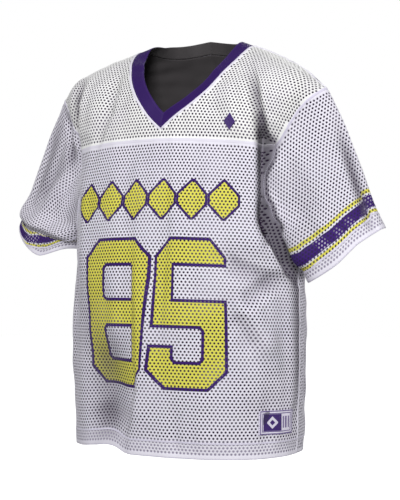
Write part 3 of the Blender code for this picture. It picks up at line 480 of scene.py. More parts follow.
class SleeveForm:
    # rings of points from the armhole to the cuff: a cubic at each angle, then folded
    def __init__(self, form):
        self.sign, self.form = form["sign"], form
        self.angles = np.linspace(0, 2 * math.pi, 361)
        self.ts = np.linspace(0, 1, 141)
        self.setEnds(*self.armholeEdge())
        t = self.ts[:, None]
        points = self.eased(self.lines(self.angles[None, :], t), 120)
        surface = lambda degrees, s: self.lines(np.radians(degrees), s)
        spines, shadeSpines = ([spineOf(fold, surface) for fold in form[key]] for key in ("folds", "shades"))
        normals = self.outwards(points)
        radius = 0.07
        x, y = np.sin(self.angles)[None] * radius, np.cos(self.angles)[None] * radius + t * 0.22
        lift = foldDepth(points, spines, normals) + ripple(x, y, body["unevenness"], 11)
        lift *= ease(t / sleeveTurn["easeIn"])
        self.shade = shadeOf(points, spines, normals, shadeSpines)
        self.points = self.eased(points + normals * lift[..., None], 16)
        self.normals = self.outwards(self.points)
        self.normals[0] = unit(self.normals[0] + self.flat)
        self.unroll()

    def armholeEdge(self):
        # the armhole by angle, down the front and up the back: its points, the way off the panel, and its normals
        vs = np.linspace(armpitV, 2, 150)
        parts = [(side, self.sign * armEdge(side.name, v), v) for side, v in ((front, vs[::-1]), (back, vs[1:-1]))]
        edge, flat = (np.concatenate([side.at(p, v)[k] for side, p, v in parts]) for k in (0, 1))
        shade = np.concatenate([side.trough(p, v) for side, p, v in parts])
        away = unit(np.cross(flat, np.roll(edge, -1, axis=0) - np.roll(edge, 1, axis=0))) * self.sign
        closed = lambda rows: np.concatenate([rows, rows[:1]])
        run = runOf(closed(edge))
        bottom, whole = run[len(vs) - 1], run[-1]
        turn = np.where(run <= bottom, run / bottom, 1 + (run - bottom) / (whole - bottom)) * math.pi
        self.edgeShade = np.interp(self.angles, turn, closed(shade))
        return [along(closed(rows), turn, self.angles) for rows in (edge, away, flat)]

    def setEnds(self, edge, away, flat):
        # where the line at each angle starts and ends, and how it leaves and arrives
        form, turn = self.form, sleeveTurn
        away, self.flat = (unit(relaxedRing(rows, 30)) for rows in (away, flat))
        across, ahead = np.cos(self.angles)[:, None], np.sin(self.angles)[:, None]
        under = np.clip(-across, 0, 1)
        end = np.array(form["centre"]) + across * form["toOuter"] + ahead * form["toFront"]
        end[:, 2:] += 2 * form["lift"] * under * np.clip(ahead, 0, 1)
        axis = unit(np.array(form["axis"]))
        self.end = end - axis * relaxedRing(self.around("trim", self.angles), 30)[:, None]
        down = axis * (turn["drop"] + (turn["armpitDrop"] - turn["drop"]) * under)
        out = np.array([turn["armpitOut"] * self.sign, 0, 0]) * under
        leave = unit(away * (1 - (1 - turn["armpitAway"]) * under) + down + out)
        self.edge, self.start = edge, edge + unit(away + leave) * 0.0003
        span = np.linalg.norm(self.end - self.start, axis=-1, keepdims=True)
        self.leave, self.arrive = leave * turn["leave"] * span, axis * turn["arrive"] * span

    def eased(self, points, times):
        # the rings of points smoothed round the sleeve's lower side, but not at the armhole
        smooth = relaxedRing(points.transpose(1, 0, 2), times).transpose(1, 0, 2)
        lower = ease((0.35 - np.cos(self.angles)) / 0.6)[None, :, None]
        return points + (smooth - points) * ease(self.ts / 0.12)[:, None, None] * lower

    def around(self, key, angle):
        # one of the form's tables of (degrees from the top, value), read round the sleeve
        degrees, values = np.array(self.form[key]).T
        return np.interp((np.degrees(angle) + 180) % 360 - 180, degrees, values)

    def printD(self, angle, d):
        # the flat print's distance up from the cuff: shifted, and with the part tucked under a fold left out
        tuck = self.around("tuck", angle)
        return np.where(d > tuck, d - tuck + sleeveTurn["hiddenTuck"], d - self.around("stripeShift", angle))

    def lines(self, angle, t):
        # a cubic from the armhole to the cuff that leaves and arrives in set directions
        angle, t = np.broadcast_arrays(angle % (2 * math.pi), t)
        tables = (self.start, self.end, self.leave, self.arrive)
        start, end, leave, arrive = (along(table, self.angles, angle) for table in tables)
        t = t[..., None]
        ends = start + (3 * t**2 - 2 * t**3) * (end - start)
        return ends + (t**3 - 2 * t**2 + t) * leave + (t**3 - t**2) * arrive

    def outwards(self, points):
        # normals of the rings, whose first and last columns are the same
        wrapped = np.concatenate([points[:, -2:-1], points, points[:, 1:2]], axis=1)
        return unit(np.cross(wrapped[:, 2:] - wrapped[:, :-2], np.gradient(points, axis=0))) * self.sign

    def unroll(self):
        # tables that turn (distance round from the top, distance up from the cuff) into (angle, t)
        up = runOf(self.points[::-1])
        self.length = up[-1]
        self.reach = float(self.length.max())
        self.ds = np.linspace(0, self.reach, 120)
        self.ss = np.linspace(-0.36, 0.36, 289)
        t = np.stack([np.interp(self.ds, up[:, k], self.ts[::-1]) for k in range(len(self.angles))], axis=1)
        self.tOf = t - np.maximum(self.ds[:, None] - self.length[None], 0)
        half = len(self.angles) // 2
        turns = np.concatenate([self.angles[half:-1] - 2 * math.pi, self.angles[: half + 1]])
        angle, width = [], []
        for row in self.sample(self.points, self.angles[None], t):
            # the second half of the angles is the sleeve's back, taken as negative distance
            run = runOf(row)
            angle.append(np.interp(self.ss, np.concatenate([run[half:-1] - run[-1], run[: half + 1]]), turns))
            width.append((run[half] - run[-1], run[half]))
        self.angleOf, self.width = np.array(angle), np.array(width)

    def sample(self, table, angle, t):
        # one of the tables of rings at (angle, t)
        angle, t = np.broadcast_arrays(angle, t)
        row = np.clip(t, 0, 1) * (len(self.ts) - 1)
        return readTable(table, row, angle % (2 * math.pi) / (2 * math.pi) * (len(self.angles) - 1))

    def at(self, angle, t, out=0.0):
        # the point and normal at (angle, t), moved out by a distance
        normals = unit(self.sample(self.normals, angle, t))
        return self.sample(self.points, angle, t) + normals * np.asarray(out)[..., None], normals

    def trough(self, angle, t):
        # the amount of painted shade: 0 on flat cloth and ridges, 1 deep in a trough or fully in a listed shade
        return np.clip(self.sample(self.shade, angle, t), 0, 1)

    def spot(self, s, d):
        # (angle, t) of a spot on the unrolled sleeve, and how far it lies inside the sleeve's edges
        row = np.clip(d / self.reach, 0, 1) * (len(self.ds) - 1)
        angle = readTable(self.angleOf, row, np.interp(s, self.ss, np.arange(len(self.ss))))
        low, high = (np.interp(d, self.ds, self.width[:, k]) for k in (0, 1))
        t = readTable(self.tOf, row, angle % (2 * math.pi) / (2 * math.pi) * (len(self.angles) - 1))
        return angle, t, np.minimum(np.minimum(high - s, s - low), np.minimum(t * 0.2, d))

    def pattern(self, angle, t):
        # the flat print's coordinates: distance round at the sleeve's mean radius, and up from the cuff
        d = (1 - np.clip(t, 0, 1)) * np.interp(angle % (2 * math.pi), self.angles, self.length)
        return together(angle * sleeveTurn["radius"], self.printD(angle, d))

    def place(self, angle, t, out):
        # points moved out, the pattern's coordinates and the shade, as the net asks for them
        return self.at(angle, t, out)[0], self.pattern(angle, t), self.trough(angle, t)


sleeves = {name: SleeveForm(form) for name, form in sleeveForms.items()}
print("jersey: sleeves worked out")


def makeMesh(name, points, faces, material, uv, bakeUv=None, marks=None):
    # faces is a list of arrays of corner numbers; uv and marks hold one entry a point, bakeUv one a corner
    sizes = np.concatenate([np.full(len(f), f.shape[1]) for f in faces])
    loops = np.concatenate([f.reshape(-1) for f in faces]).astype(np.int32)
    mesh = bpy.data.meshes.new(name)
    mesh.vertices.add(len(points))
    mesh.vertices.foreach_set("co", np.ascontiguousarray(points, np.float32).reshape(-1))
    mesh.loops.add(len(loops))
    mesh.loops.foreach_set("vertex_index", loops)
    mesh.polygons.add(len(sizes))
    mesh.polygons.foreach_set("loop_start", (np.cumsum(sizes) - sizes).astype(np.int32))
    mesh.polygons.foreach_set("use_smooth", np.ones(len(sizes), bool))
    mesh.update(calc_edges=True)
    mesh.materials.append(material)
    for key, corners in (("cloth", np.asarray(uv)[loops]), ("OFBake", bakeUv)):
        if corners is not None:
            layer = mesh.uv_layers.new(name=key)
            layer.uv.foreach_set("vector", np.asarray(corners, np.float32).reshape(-1))
    for key, values in (marks or {}).items():
        mesh.attributes.new(key, "FLOAT", "POINT").data.foreach_set("value", np.asarray(values, np.float32))
    obj = bpy.data.objects.new(name, mesh)
    bpy.context.scene.collection.objects.link(obj)
    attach(obj, "root")
    return obj


def gridQuads(rows, columns, closedRows=False, closedColumns=False):
    # the corners of each cell of a grid of points; a closed direction joins its last line to its first
    lines = np.arange(rows if closedRows else rows - 1), np.arange(columns if closedColumns else columns - 1)
    i, j = np.meshgrid(*lines, indexing="ij")
    down, beside = (i + 1) % rows * columns, (j + 1) % columns
    return together(i * columns + j, i * columns + beside, down + beside, down + j).reshape(-1, 4)


def turned(quads):
    # the same faces seen from the other side, from the same first corner
    return quads[:, [0, 3, 2, 1]]


def intoSquare(values, low, high):
    # both coordinates stretched to fill a rectangle
    span = np.maximum(values.max(0) - values.min(0), 1e-9)
    return low + (values - values.min(0)) / span * (np.array(high) - low)


def wallShell(name, grids, material):
    # a closed wall: each grid's points are moved in by two depths, and the open rim is joined
    faces, parts, start = [], [], 0
    for points, normals, uv, depth, flip, trough in grids:
        quads = gridQuads(*trough.shape) + start
        faces.append(quads[:, ::-1] if flip else quads)
        start += trough.size
        depth = np.broadcast_to(depth, trough.shape)[..., None]
        parts.append((points - normals * body["underNet"], points - normals * depth, uv, trough[..., None], depth))
    asRows = lambda part: np.concatenate([k.reshape(-1, k.shape[-1]) for k in part])
    outer, inner, uv, trough, depth = map(asRows, zip(*parts))
    # points that two grids share become one
    _, first, place = np.unique(np.round(outer, 5), axis=0, return_index=True, return_inverse=True)
    quads = place.reshape(-1)[np.concatenate(faces)]
    outer, inner, uv, trough = outer[first], inner[first], uv[first], trough[first, 0]
    double = depth[first, 0] > body["wall"]
    flat = outer[quads]
    quads = quads[np.linalg.norm(np.cross(flat[:, 2] - flat[:, 0], flat[:, 3] - flat[:, 1]), axis=1) > 1e-12]
    edges = np.concatenate([quads[:, [k, (k + 1) % 4]] for k in range(4)])
    edges = edges[edges[:, 0] != edges[:, 1]]
    count = len(outer)
    # the rim is each edge that no other face runs along the other way
    rim = edges[~np.isin(edges[:, 0] * count + edges[:, 1], edges[:, 1] * count + edges[:, 0])]
    rims = together(rim[:, 1], rim[:, 0], rim[:, 0] + count, rim[:, 1] + count)
    # for the bake the outer face fills the left half, the inner face the right half, and the rim a top strip
    square = intoSquare(uv, 0.01, (0.49, 0.96))
    k = np.arange(len(rim)) / len(rim)
    stripCorners = ((0.8, 0.99), (0.1, 0.99), (0.1, 0.975), (0.8, 0.975))
    strip = np.stack([together(k + step / len(rim), high) for step, high in stripCorners], axis=1)
    bakeUv = np.concatenate([part.reshape(-1, 2) for part in (square[quads], square[quads[:, ::-1]] + (0.5, 0), strip)])
    marks = {"inside": np.repeat([0, 1], count), "trough": np.tile(trough, 2), "double": np.tile(double, 2)}
    faces = [quads, quads[:, ::-1] + count, rims]
    return makeMesh(name, np.concatenate([outer, inner]), faces, material, np.tile(uv, (2, 1)), bakeUv, marks)


# the knitted net: staggered six-sided cells, each with a hole
net = {"pitch": 0.0069, "rowStep": 0.0055, "holeWide": 0.00200, "holeTall": 0.00195, "crest": 0.0003, "sink": 0.0007}


def knitNet(name, spot, span, place, material):
    # spot turns lattice distances (a, b) into a surface's own two numbers and how far inside its edges they are;
    # place turns those numbers into points, moved out by a height, the pattern's coordinates and the shade
    pitch, step = net["pitch"], net["rowStep"]
    tall = (pitch**2 / 4 + step**2) / (2 * step)
    (a0, a1), (b0, b1) = span
    i, j = np.meshgrid(np.arange(math.ceil((a1 - a0) / pitch) + 2), np.arange(math.ceil((b1 - b0) / step) + 2))
    odd = j % 2
    a = (a0 + a1) / 2 + (i - i.max() // 2 + 0.5 * odd) * pitch
    b = b0 + (j - 0.5) * step
    rows, columns = a.shape

    # each cell owns its top corner and its bottom corner; the other four are its neighbours'
    left, right = (np.clip(i + odd - k, 0, columns - 1) for k in (1, 0))
    above, below = np.clip(j + 1, 0, rows - 1), np.clip(j - 1, 0, rows - 1)
    topOf = lambda row, col: row * columns + col
    bottomOf = lambda row, col: rows * columns + row * columns + col
    corners = together(
        topOf(j, i), bottomOf(above, right), topOf(below, right),
        bottomOf(j, i), topOf(below, left), bottomOf(above, left),
    )
    cornerA, cornerB = np.tile(a.ravel(), 2), np.concatenate([(b + tall).ravel(), (b - tall).ravel()])

    # a cell is kept inside the panel, and has a hole where all of its corners are inside too
    border = (i > 0) & (i < columns - 1) & (j > 0) & (j < rows - 1)
    kept = border & (spot(a, b)[-1] > -0.001)
    opened = kept & (spot(cornerA, cornerB)[-1][corners].min(axis=-1) > 0.0004)
    shut = kept & ~opened
    turn = np.radians(np.arange(0, 360, 60))
    holeA = a[opened][:, None] + net["holeWide"] * np.sin(turn)
    holeB = b[opened][:, None] + net["holeTall"] * np.cos(turn)
    low = net["crest"] - net["sink"]
    pieces = ((cornerA, cornerB, net["crest"]), (holeA.ravel(), holeB.ravel(), low), (a[shut], b[shut], net["crest"]))
    parts = [
        (*place(*spot(pa, pb)[:2], out), np.full(len(pa), float(out > 0)), together(pa, pb)) for pa, pb, out in pieces
    ]
    points, uv, trough, crest, ab = (np.concatenate(k) for k in zip(*parts))

    holes = 2 * rows * columns + np.arange(opened.sum() * 6).reshape(-1, 6)
    onwards = np.roll(np.arange(6), -1)
    ring, closedRing = corners[opened], corners[shut]
    quads = together(ring, holes, holes[:, onwards], ring[:, onwards]).reshape(-1, 4)
    centre = holes.size + 2 * rows * columns + np.arange(shut.sum())
    fans = together(closedRing, centre[:, None], closedRing[:, onwards]).reshape(-1, 3)
    flat = points[fans]
    fans = fans[np.linalg.norm(np.cross(flat[:, 1] - flat[:, 0], flat[:, 2] - flat[:, 0]), axis=1) > 2e-9]
    used = np.unique(np.concatenate([quads.ravel(), fans.ravel()]))
    renumber = np.zeros(len(points), int)
    renumber[used] = np.arange(len(used))
    quads, fans = renumber[quads], renumber[fans]
    points, uv, trough, crest, ab = (k[used] for k in (points, uv, trough, crest, ab))

    # the faces are turned round where they look into the cloth
    facing = np.cross(points[quads[:, 1]] - points[quads[:, 0]], points[quads[:, 2]] - points[quads[:, 0]])
    own = spot(*ab[quads[:, 0]].T)[:2]
    if (facing * (place(*own, 0.001)[0] - place(*own, 0.0)[0])).sum() < 0:
        quads, fans = quads[:, ::-1], fans[:, ::-1]
    square = intoSquare(ab, 0.005, (0.995, 0.995))
    bakeUv = np.concatenate([square[quads].reshape(-1, 2), square[fans].reshape(-1, 2)])
    print(f"jersey: {name} has {len(holes)} holes, {len(quads) * 2 + len(fans)} triangles")
    return makeMesh(name, points, [quads, fans], material, uv, bakeUv, {"crest": crest, "trough": trough})


def carried(name, path, normals, profile, material, closed=False, shade=None):
    # a closed profile, given as steps across and out, carried along a path
    normals = unit(normals)
    forward = np.gradient(path, axis=0)
    if closed:
        forward[0] = forward[-1] = path[1] - path[-2]
    sideways = unit(np.cross(normals, unit(forward)))
    points = path[:, None] + sideways[:, None] * profile[None, :, :1] + normals[:, None] * profile[None, :, 1:]
    rows, columns = points.shape[:2]
    faces = [turned(gridQuads(rows, columns, closedColumns=True))]
    if not closed:
        ends = np.arange(columns)[None]
        faces += [ends, (rows - 1) * columns + ends[:, ::-1]]
    uv = together(runOf(path)[:, None], runOf(profile)).reshape(-1, 2)
    marks = None if shade is None else {"trough": np.repeat(shade, columns)}
    return makeMesh(name, points.reshape(-1, 3), faces, material, uv, None, marks)


def flatBand(width, height, sink=0.0006):
    # half an ellipse over a flat underside
    turn = np.linspace(math.pi, 0, 9)
    over = together(-np.cos(turn) * width / 2, np.sin(turn) * height)
    return np.concatenate([over, [[-width / 2, -sink], [width / 2, -sink]]])


def roundCord(radius):
    # a circle of eight sides
    turn = np.linspace(0, 2 * math.pi, 8, endpoint=False)
    return together(np.cos(turn), -np.sin(turn))[::-1] * radius


class Value:
    # a socket of some nodes: + - * and abs on it add Math nodes
    def __init__(self, nodes, socket):
        self.nodes, self.socket = nodes, socket

    def math(self, operation, *others, clamp=False):
        # any Math node, with this value first
        terms = dict(enumerate((self, *others)))
        return self.nodes.node("ShaderNodeMath", {"operation": operation, "use_clamp": clamp}, terms)

    def __add__(self, other):
        return self.math("ADD", other)

    def __sub__(self, other):
        return self.math("SUBTRACT", other)

    def __mul__(self, other):
        return self.math("MULTIPLY", other)

    def __rsub__(self, other):
        return self * -1 + other

    def __abs__(self):
        return self.math("ABSOLUTE")

    __radd__, __rmul__ = __add__, __mul__

    def clamped(self):
        # held between 0 and 1
        return self.math("ADD", 0.0, clamp=True)

    def wave(self, pitch):
        # a sine that repeats at every pitch
        return (self * (2 * math.pi / pitch)).math("SINE")

    def within(self, soft=0.0006):
        # 1 where the value is under 0, going to 0 over a soft edge
        return (0.5 - self * (1 / soft)).clamped()


def most(first, *others):
    # the largest of some values
    for other in others:
        first = first.math("MAXIMUM", other)
    return first


class Nodes:
    # a tree of nodes, each made by one method: its settings first, then the values or links of its sockets
    def __init__(self, tree):
        self.tree = tree

    def node(self, kind, settings=None, inputs=None, out=0):
        made = self.tree.nodes.new(kind)
        for key, value in (settings or {}).items():
            setattr(made, key, value)
        for key, value in (inputs or {}).items():
            if isinstance(value, Value):
                self.tree.links.new(value.socket, made.inputs[key])
            else:
                made.inputs[key].default_value = value
        return Value(self, made.outputs[out])


class Finish(Nodes):
    # one material: fixed numbers go straight on the shader, anything that varies comes in through link
    def __init__(self, name, **fixed):
        self.material = bpy.data.materials.new(name)
        self.material.use_nodes = True
        self.material.diffuse_color = (0.8, 0.8, 0.82, 1)
        super().__init__(self.material.node_tree)
        self.shader = self.tree.nodes["Principled BSDF"]
        for key, value in fixed.items():
            self.shader.inputs[key.replace("_", " ")].default_value = value

    def link(self, key, value):
        # a value that changes over the surface
        self.tree.links.new(value.socket, self.shader.inputs[key])

    def axis(self, vector, number):
        return self.node("ShaderNodeSeparateXYZ", None, {0: vector}, number)

    def cloth(self):
        # both coordinates of the piece's own flat pattern
        spot = self.node("ShaderNodeUVMap", {"uv_map": "cloth"})
        return [self.axis(spot, number) for number in (0, 1)]

    def mark(self, name):
        return self.node("ShaderNodeAttribute", {"attribute_name": name}, None, "Fac")

    def where(self):
        return self.node("ShaderNodeTexCoord", None, None, "Object")

    def noise(self, scale, detail=2.0):
        return self.node("ShaderNodeTexNoise", None, {"Vector": self.where(), "Scale": scale, "Detail": detail}, "Fac")

    def blend(self, factor, first, second):
        # a colour between two, each a value or three numbers
        first, second = ((*k, 1.0) if isinstance(k, tuple) else k for k in (first, second))
        return self.node("ShaderNodeMix", {"data_type": "RGBA"}, {0: factor, 6: first, 7: second}, 2)

    def bump(self, height, strength, distance):
        inputs = {"Height": height, "Strength": strength, "Distance": distance}
        self.link("Normal", self.node("ShaderNodeBump", None, inputs))


# painted shade: darkGap, greyGap and insideShade stand for the jersey's shaded inside, seen through the holes and at
# the openings; deepShade darkens troughs and cloth under the sleeves
colours = {
    "bodyThread": (0.76, 0.74, 0.82), "yokeThread": (0.84, 0.84, 0.83), "shade": (0.60, 0.56, 0.70),
    "deepShade": (0.10, 0.09, 0.115), "yellow": (0.70, 0.66, 0.095), "purple": (0.034, 0.006, 0.140),
    "insideShade": (0.047, 0.043, 0.045), "darkGap": (0.024, 0.014, 0.034), "greyGap": (0.14, 0.12, 0.165),
    "lightGap": (0.33, 0.30, 0.40), "purpleGap": (0.035, 0.024, 0.075), "palePurpleGap": (0.50, 0.46, 0.62),
}
prints = {
    "outline": 0.0056, "stroke": 0.036, "bar": 0.040, "digitHalfWide": 0.0717, "digitHalfTall": 0.128,
    "digitCut": 0.030, "holeCut": 0.008, "eightAt": (-0.086, 0.250), "fiveAt": (0.074, 0.250),
    "blockFirstP": -0.190, "blockPitch": 0.0590, "blocks": 6, "blockHeight": 0.450, "blockHalfWide": 0.0250,
    "blockHalfTall": 0.032, "blockCut": 0.024, "blockOutline": 0.00448,
}
# where the flat print's columns x lie on the worn front at some heights; a long pleat hides part of the left digit
printFit = {
    "x": [-0.1632, -0.1162, -0.0600, -0.0360, -0.0088, -0.0032, 0.0438, 0.1042, 0.1512],
    "rows": {
        0.200: [-0.137, -0.098, -0.034, -0.027, -0.013, -0.008, 0.046, 0.097, 0.145],
        0.330: [-0.140, -0.098, -0.036, -0.0325, -0.009, 0.000, 0.048, 0.098, 0.144],
        0.420: [-0.142, -0.098, -0.036, -0.0325, -0.006, 0.005, 0.048, 0.098, 0.143],
        0.560: [-0.153, -0.101, -0.039, -0.035, 0.002, 0.008, 0.048, 0.100, 0.140],
        0.690: [-0.160, -0.108, -0.050, -0.028, 0.001, 0.007, 0.048, 0.100, 0.140],
        0.745: [-0.1632, -0.1162, -0.0600, -0.0360, -0.0088, -0.0032, 0.0438, 0.1042, 0.1512],
    },
}
stripes = {"cuff": 0.0298, "yellow": 0.0062, "gap": 0.0038, "purple": 0.0214, "soft": 0.0008}
digitInner = prints["digitHalfWide"] - prints["stroke"]
digitHole = (prints["digitHalfTall"] * 2 - 3 * prints["bar"]) / 2


def printX(p, v):
    # the flat print's distance across at a spot: straight between the columns of printFit, unscaled past them
    heights, tables = np.array(list(printFit["rows"])), np.array(list(printFit["rows"].values()))
    at = [np.interp(v, heights, values) for values in tables.T]
    x = printFit["x"][0] + np.minimum(p - at[0], 0) + np.maximum(p - at[-1], 0)
    for k, width in enumerate(np.diff(printFit["x"])):
        x = x + width * np.clip((p - at[k]) / (at[k + 1] - at[k]), 0, 1)
    return x


def cutBox(x, y, halfWide, halfTall, cut=0.0):
    # distance from a box with cut corners: the most of |x| - w, |y| - h and (|x| - w + |y| - h + cut) / root 2
    beside, above = abs(x) - halfWide, abs(y) - halfTall
    return most(beside, above, (beside + above + cut) * 0.7071)


def digitBox(x, y):
    # the outline that block digits share
    return cutBox(x, y, prints["digitHalfWide"], prints["digitHalfTall"], prints["digitCut"])


def digitGap(x, y, low):
    # distance into a block digit's hole, the upper where low is -1 and the lower where it is 1
    y = y + (prints["bar"] + digitHole) / 2 * low
    return cutBox(x, y, digitInner, digitHole / 2, prints["holeCut"]) * -1


def eightShape(x, y):
    # the box less both holes
    return most(digitBox(x, y), digitGap(x, y, -1), digitGap(x, y, 1))


def fiveShape(x, y):
    # the box less the lower hole, a gap open to the right and a short gap open to the left
    upper = cutBox(x - 0.10, y - (prints["bar"] + digitHole) / 2, 0.10 + digitInner, digitHole / 2) * -1
    gap = cutBox(x + 0.08, y + prints["bar"] / 2 + digitHole * 0.3, 0.08, digitHole * 0.3) * -1
    return most(digitBox(x, y), upper, digitGap(x, y, 1), gap)


def blockRow(x, y):
    # blocks with cut corners, from the remainder of the distance along the row, with nothing past its ends
    x = x - prints["blockFirstP"]
    half = prints["blocks"] * prints["blockPitch"] / 2
    step = x.math("MODULO", prints["blockPitch"]) - prints["blockPitch"] / 2
    y = y - prints["blockHeight"]
    block = cutBox(step, y, prints["blockHalfWide"], prints["blockHalfTall"], prints["blockCut"])
    return most(block, (abs(x - half) - half) * 40 + 0.0045)


def stripeMasks(d):
    # lower yellow, upper yellow and purple, as distances up from the cuff's edge
    purpleLow = stripes["cuff"] + stripes["yellow"] + stripes["gap"]
    highLow = purpleLow + stripes["purple"] + stripes["gap"]
    bands = ((stripes["cuff"], "yellow"), (highLow, "yellow"), (purpleLow, "purple"))
    return [
        (abs(d - (start + stripes[band] / 2)) - stripes[band] / 2).within(stripes["soft"]) for start, band in bands
    ]


def threadFinish(name, thread, pattern=None):
    # pale knitting yarn with slight unevenness, fine yarn relief and printed colour; painted shade darkens it in
    # troughs and at the holes' rims
    made = Finish(name, Sheen_Weight=0.05, Sheen_Roughness=0.5, Specular_IOR_Level=0.15)
    fine = made.noise(420.0)
    colour = made.blend((made.noise(16.0, 3.0) - 0.35) * 0.55, thread, colours["shade"])
    if pattern:
        colour = pattern(made, colour)
    crest, trough = made.mark("crest"), made.mark("trough")
    # painted shade in troughs and where the cloth lies under the sleeves
    colour = made.blend(trough * trough * 0.50 + trough * 0.38, colour, colours["deepShade"])
    worn = made.blend(fine * 0.22, colour, made.blend(0.4, colour, colours["darkGap"]))
    # painted shade at the holes' rims, where the yarn slopes down into the hole
    made.link("Base Color", made.blend((1 - crest) * 0.34, worn, made.blend(0.55, colour, colours["darkGap"])))
    made.link("Roughness", fine * 0.18 + 0.57)
    made.bump(fine + crest * 0.6, 0.35, 0.0006)
    return made.material


def frontPrints(made, colour):
    # yellow digits and blocks, each inside a purple outline
    x, y = made.cloth()
    (eightX, eightY), (fiveX, fiveY) = prints["eightAt"], prints["fiveAt"]
    shapes = [
        (eightShape(x - eightX, y - eightY), prints["outline"]), (fiveShape(x - fiveX, y - fiveY), prints["outline"]),
        (blockRow(x, y), prints["blockOutline"]),
    ]
    for shape, outline in shapes:
        colour = made.blend((shape - outline).within(), colour, colours["purple"])
        colour = made.blend(shape.within(), colour, colours["yellow"])
    return colour


def sleevePrints(made, colour):
    # a purple stripe between two yellow ones
    low, high, purple = stripeMasks(made.cloth()[1])
    colour = made.blend(most(low, high), colour, colours["yellow"])
    return made.blend(purple, colour, colours["purple"])


def wallFinish(name, zones=()):
    # painted shade for what shows through the holes, dark or grey by soft patches and darker in troughs, and painted
    # shade on the inside face
    made = Finish(name, Roughness=0.9, Specular_IOR_Level=0.1)
    patches = ((made.noise(13.0) - 0.56) * 5.0 + 0.5).clamped()
    # painted shade: the grey patches give way to dark in troughs
    colour = made.blend(patches * (1 - made.mark("trough")), colours["darkGap"], colours["greyGap"])
    for zone in zones:
        colour = made.blend(*zone(made, colour))
    weave = made.noise(900.0, 1.0)
    colour = made.blend(weave * 0.3, colour, colours["darkGap"])
    # the inside face is painted shade
    made.link("Base Color", made.blend(made.mark("inside"), colour, colours["insideShade"]))
    made.bump(weave, 0.2, 0.0003)
    return made.material


def doubledZone(made, colour):
    # lighter where the cloth is turned up
    return made.mark("double"), colour, colours["lightGap"]


def purpleZone(made, colour):
    # the purple stripe's dye on the cloth behind it, worn pale in patches
    patches = ((made.noise(26.0, 1.0) - 0.57) * 9.0 + 0.35).clamped()
    dye = made.blend(patches, colours["purpleGap"], colours["palePurpleGap"])
    return stripeMasks(made.cloth()[1])[2], colour, dye


def seamFinish(name, colour, shade, pitch=0.0026):
    # smooth tape with the small dents of the stitches along it, and painted shade where it lies in a trough
    made = Finish(name, Sheen_Weight=0.3, Specular_IOR_Level=0.3)
    fine = made.noise(500.0)
    yarn = made.blend(fine * 0.35 + made.noise(30.0) * 0.25, colour, shade)
    # painted shade where the tape lies in a trough
    made.link("Base Color", made.blend(made.mark("trough") * 0.85, yarn, colours["deepShade"]))
    made.link("Roughness", fine * 0.2 + 0.55)
    made.bump(made.cloth()[0].wave(pitch) * 0.5 + fine, 0.30, 0.0005)
    return made.material


finishes = {
    "bodyNet": threadFinish("bodyMeshYarn", colours["bodyThread"], frontPrints),
    "yokeNet": threadFinish("yokeMeshYarn", colours["yokeThread"]),
    "backNet": threadFinish("backMeshYarn", colours["bodyThread"]),
    "sleeveNet": threadFinish("sleeveMeshYarn", colours["bodyThread"], sleevePrints),
    "bodyWall": wallFinish("bodyInnerCloth", [doubledZone]),
    "yokeWall": wallFinish("yokeInnerCloth"),
    "sleeveWall": wallFinish("sleeveInnerCloth", [doubledZone, purpleZone]),
    "seam": seamFinish("seamTape", (0.72, 0.70, 0.78), (0.56, 0.53, 0.64)),
    "hemTape": seamFinish("hemTape", (0.66, 0.63, 0.75), (0.50, 0.47, 0.60)),
    "thread": seamFinish("sewingThread", (0.84, 0.83, 0.87), (0.66, 0.63, 0.72), 0.001),
    "purpleThread": seamFinish("purpleThread", (0.075, 0.024, 0.22), (0.04, 0.01, 0.13), 0.001),
}
print("jersey: materials made")


# the walls and nets of the panels
def rowsUpTo(stops):
    # evenly spaced rows for each stretch (from, to, how many), and the last stretch's end
    return np.concatenate([np.linspace(a, b, n, endpoint=False) for a, b, n in stops] + [[stops[-1][1]]])


def panelGrid(side, p, v, half=1):
    # one grid of a panel's wall, thicker at the hem; half is -1 where p runs the other way
    depth = np.where(v < body["doubledTall"] / bodyLength, body["doubled"], body["wall"])
    return (*side.at(p, v), together(p, v * bodyLength), depth, side.sign * half > 0, side.trough(p, v))


def bodySpot(a, b):
    # p and v of a spot on the front below the chest seam, and how far inside the panel it is
    v = b / bodyLength
    edge = armEdge("front", np.clip(v, 0, 1))
    inside = np.minimum(edge - np.abs(a), np.minimum(b, bodyLength - b))
    return np.clip(a, -edge, edge), np.clip(v, 0, 0.9998), inside


def yokeSpot(a, b):
    # the same above the chest seam, where the neck is open from the V's tip up
    high = front.rowHeight(a)
    held = np.clip(1 + b / high, 1.0002, 2)
    edge, neck = armEdge("front", held), neckFrontP(held, a)
    inside = np.minimum(np.minimum(edge - np.abs(a), np.abs(a) - neck + (held < tipV)), np.minimum(b, high - b))
    return np.where(a < 0, -1, 1) * np.clip(np.abs(a), neck, edge), held, inside


def backSpot(a, b):
    # the same on the back, from the hem to the neckline
    high = back.rowHeight(a)
    v = np.where(b <= bodyLength, b / bodyLength, 1 + (b - bodyLength) / high)
    top = neckBackV(a)
    held = np.clip(v, 0, top)
    edge = armEdge("back", held)
    return np.clip(a, -edge, edge), held, np.minimum(edge - np.abs(a), np.minimum(b, (top - v) * high))


hemRows = 0.046  # v up to which the rows are close together
bodyRows = rowsUpTo([(0, hemRows, 4), (hemRows, armpitV, 44), (armpitV, 0.9995, 34)])
v = np.repeat(bodyRows[:, None], 131, axis=1)
p = armEdge("front", bodyRows)[:, None] * np.linspace(-1, 1, 131)
frontWall = wallShell("front_body_wall", [panelGrid(front, p, v)], finishes["bodyWall"])

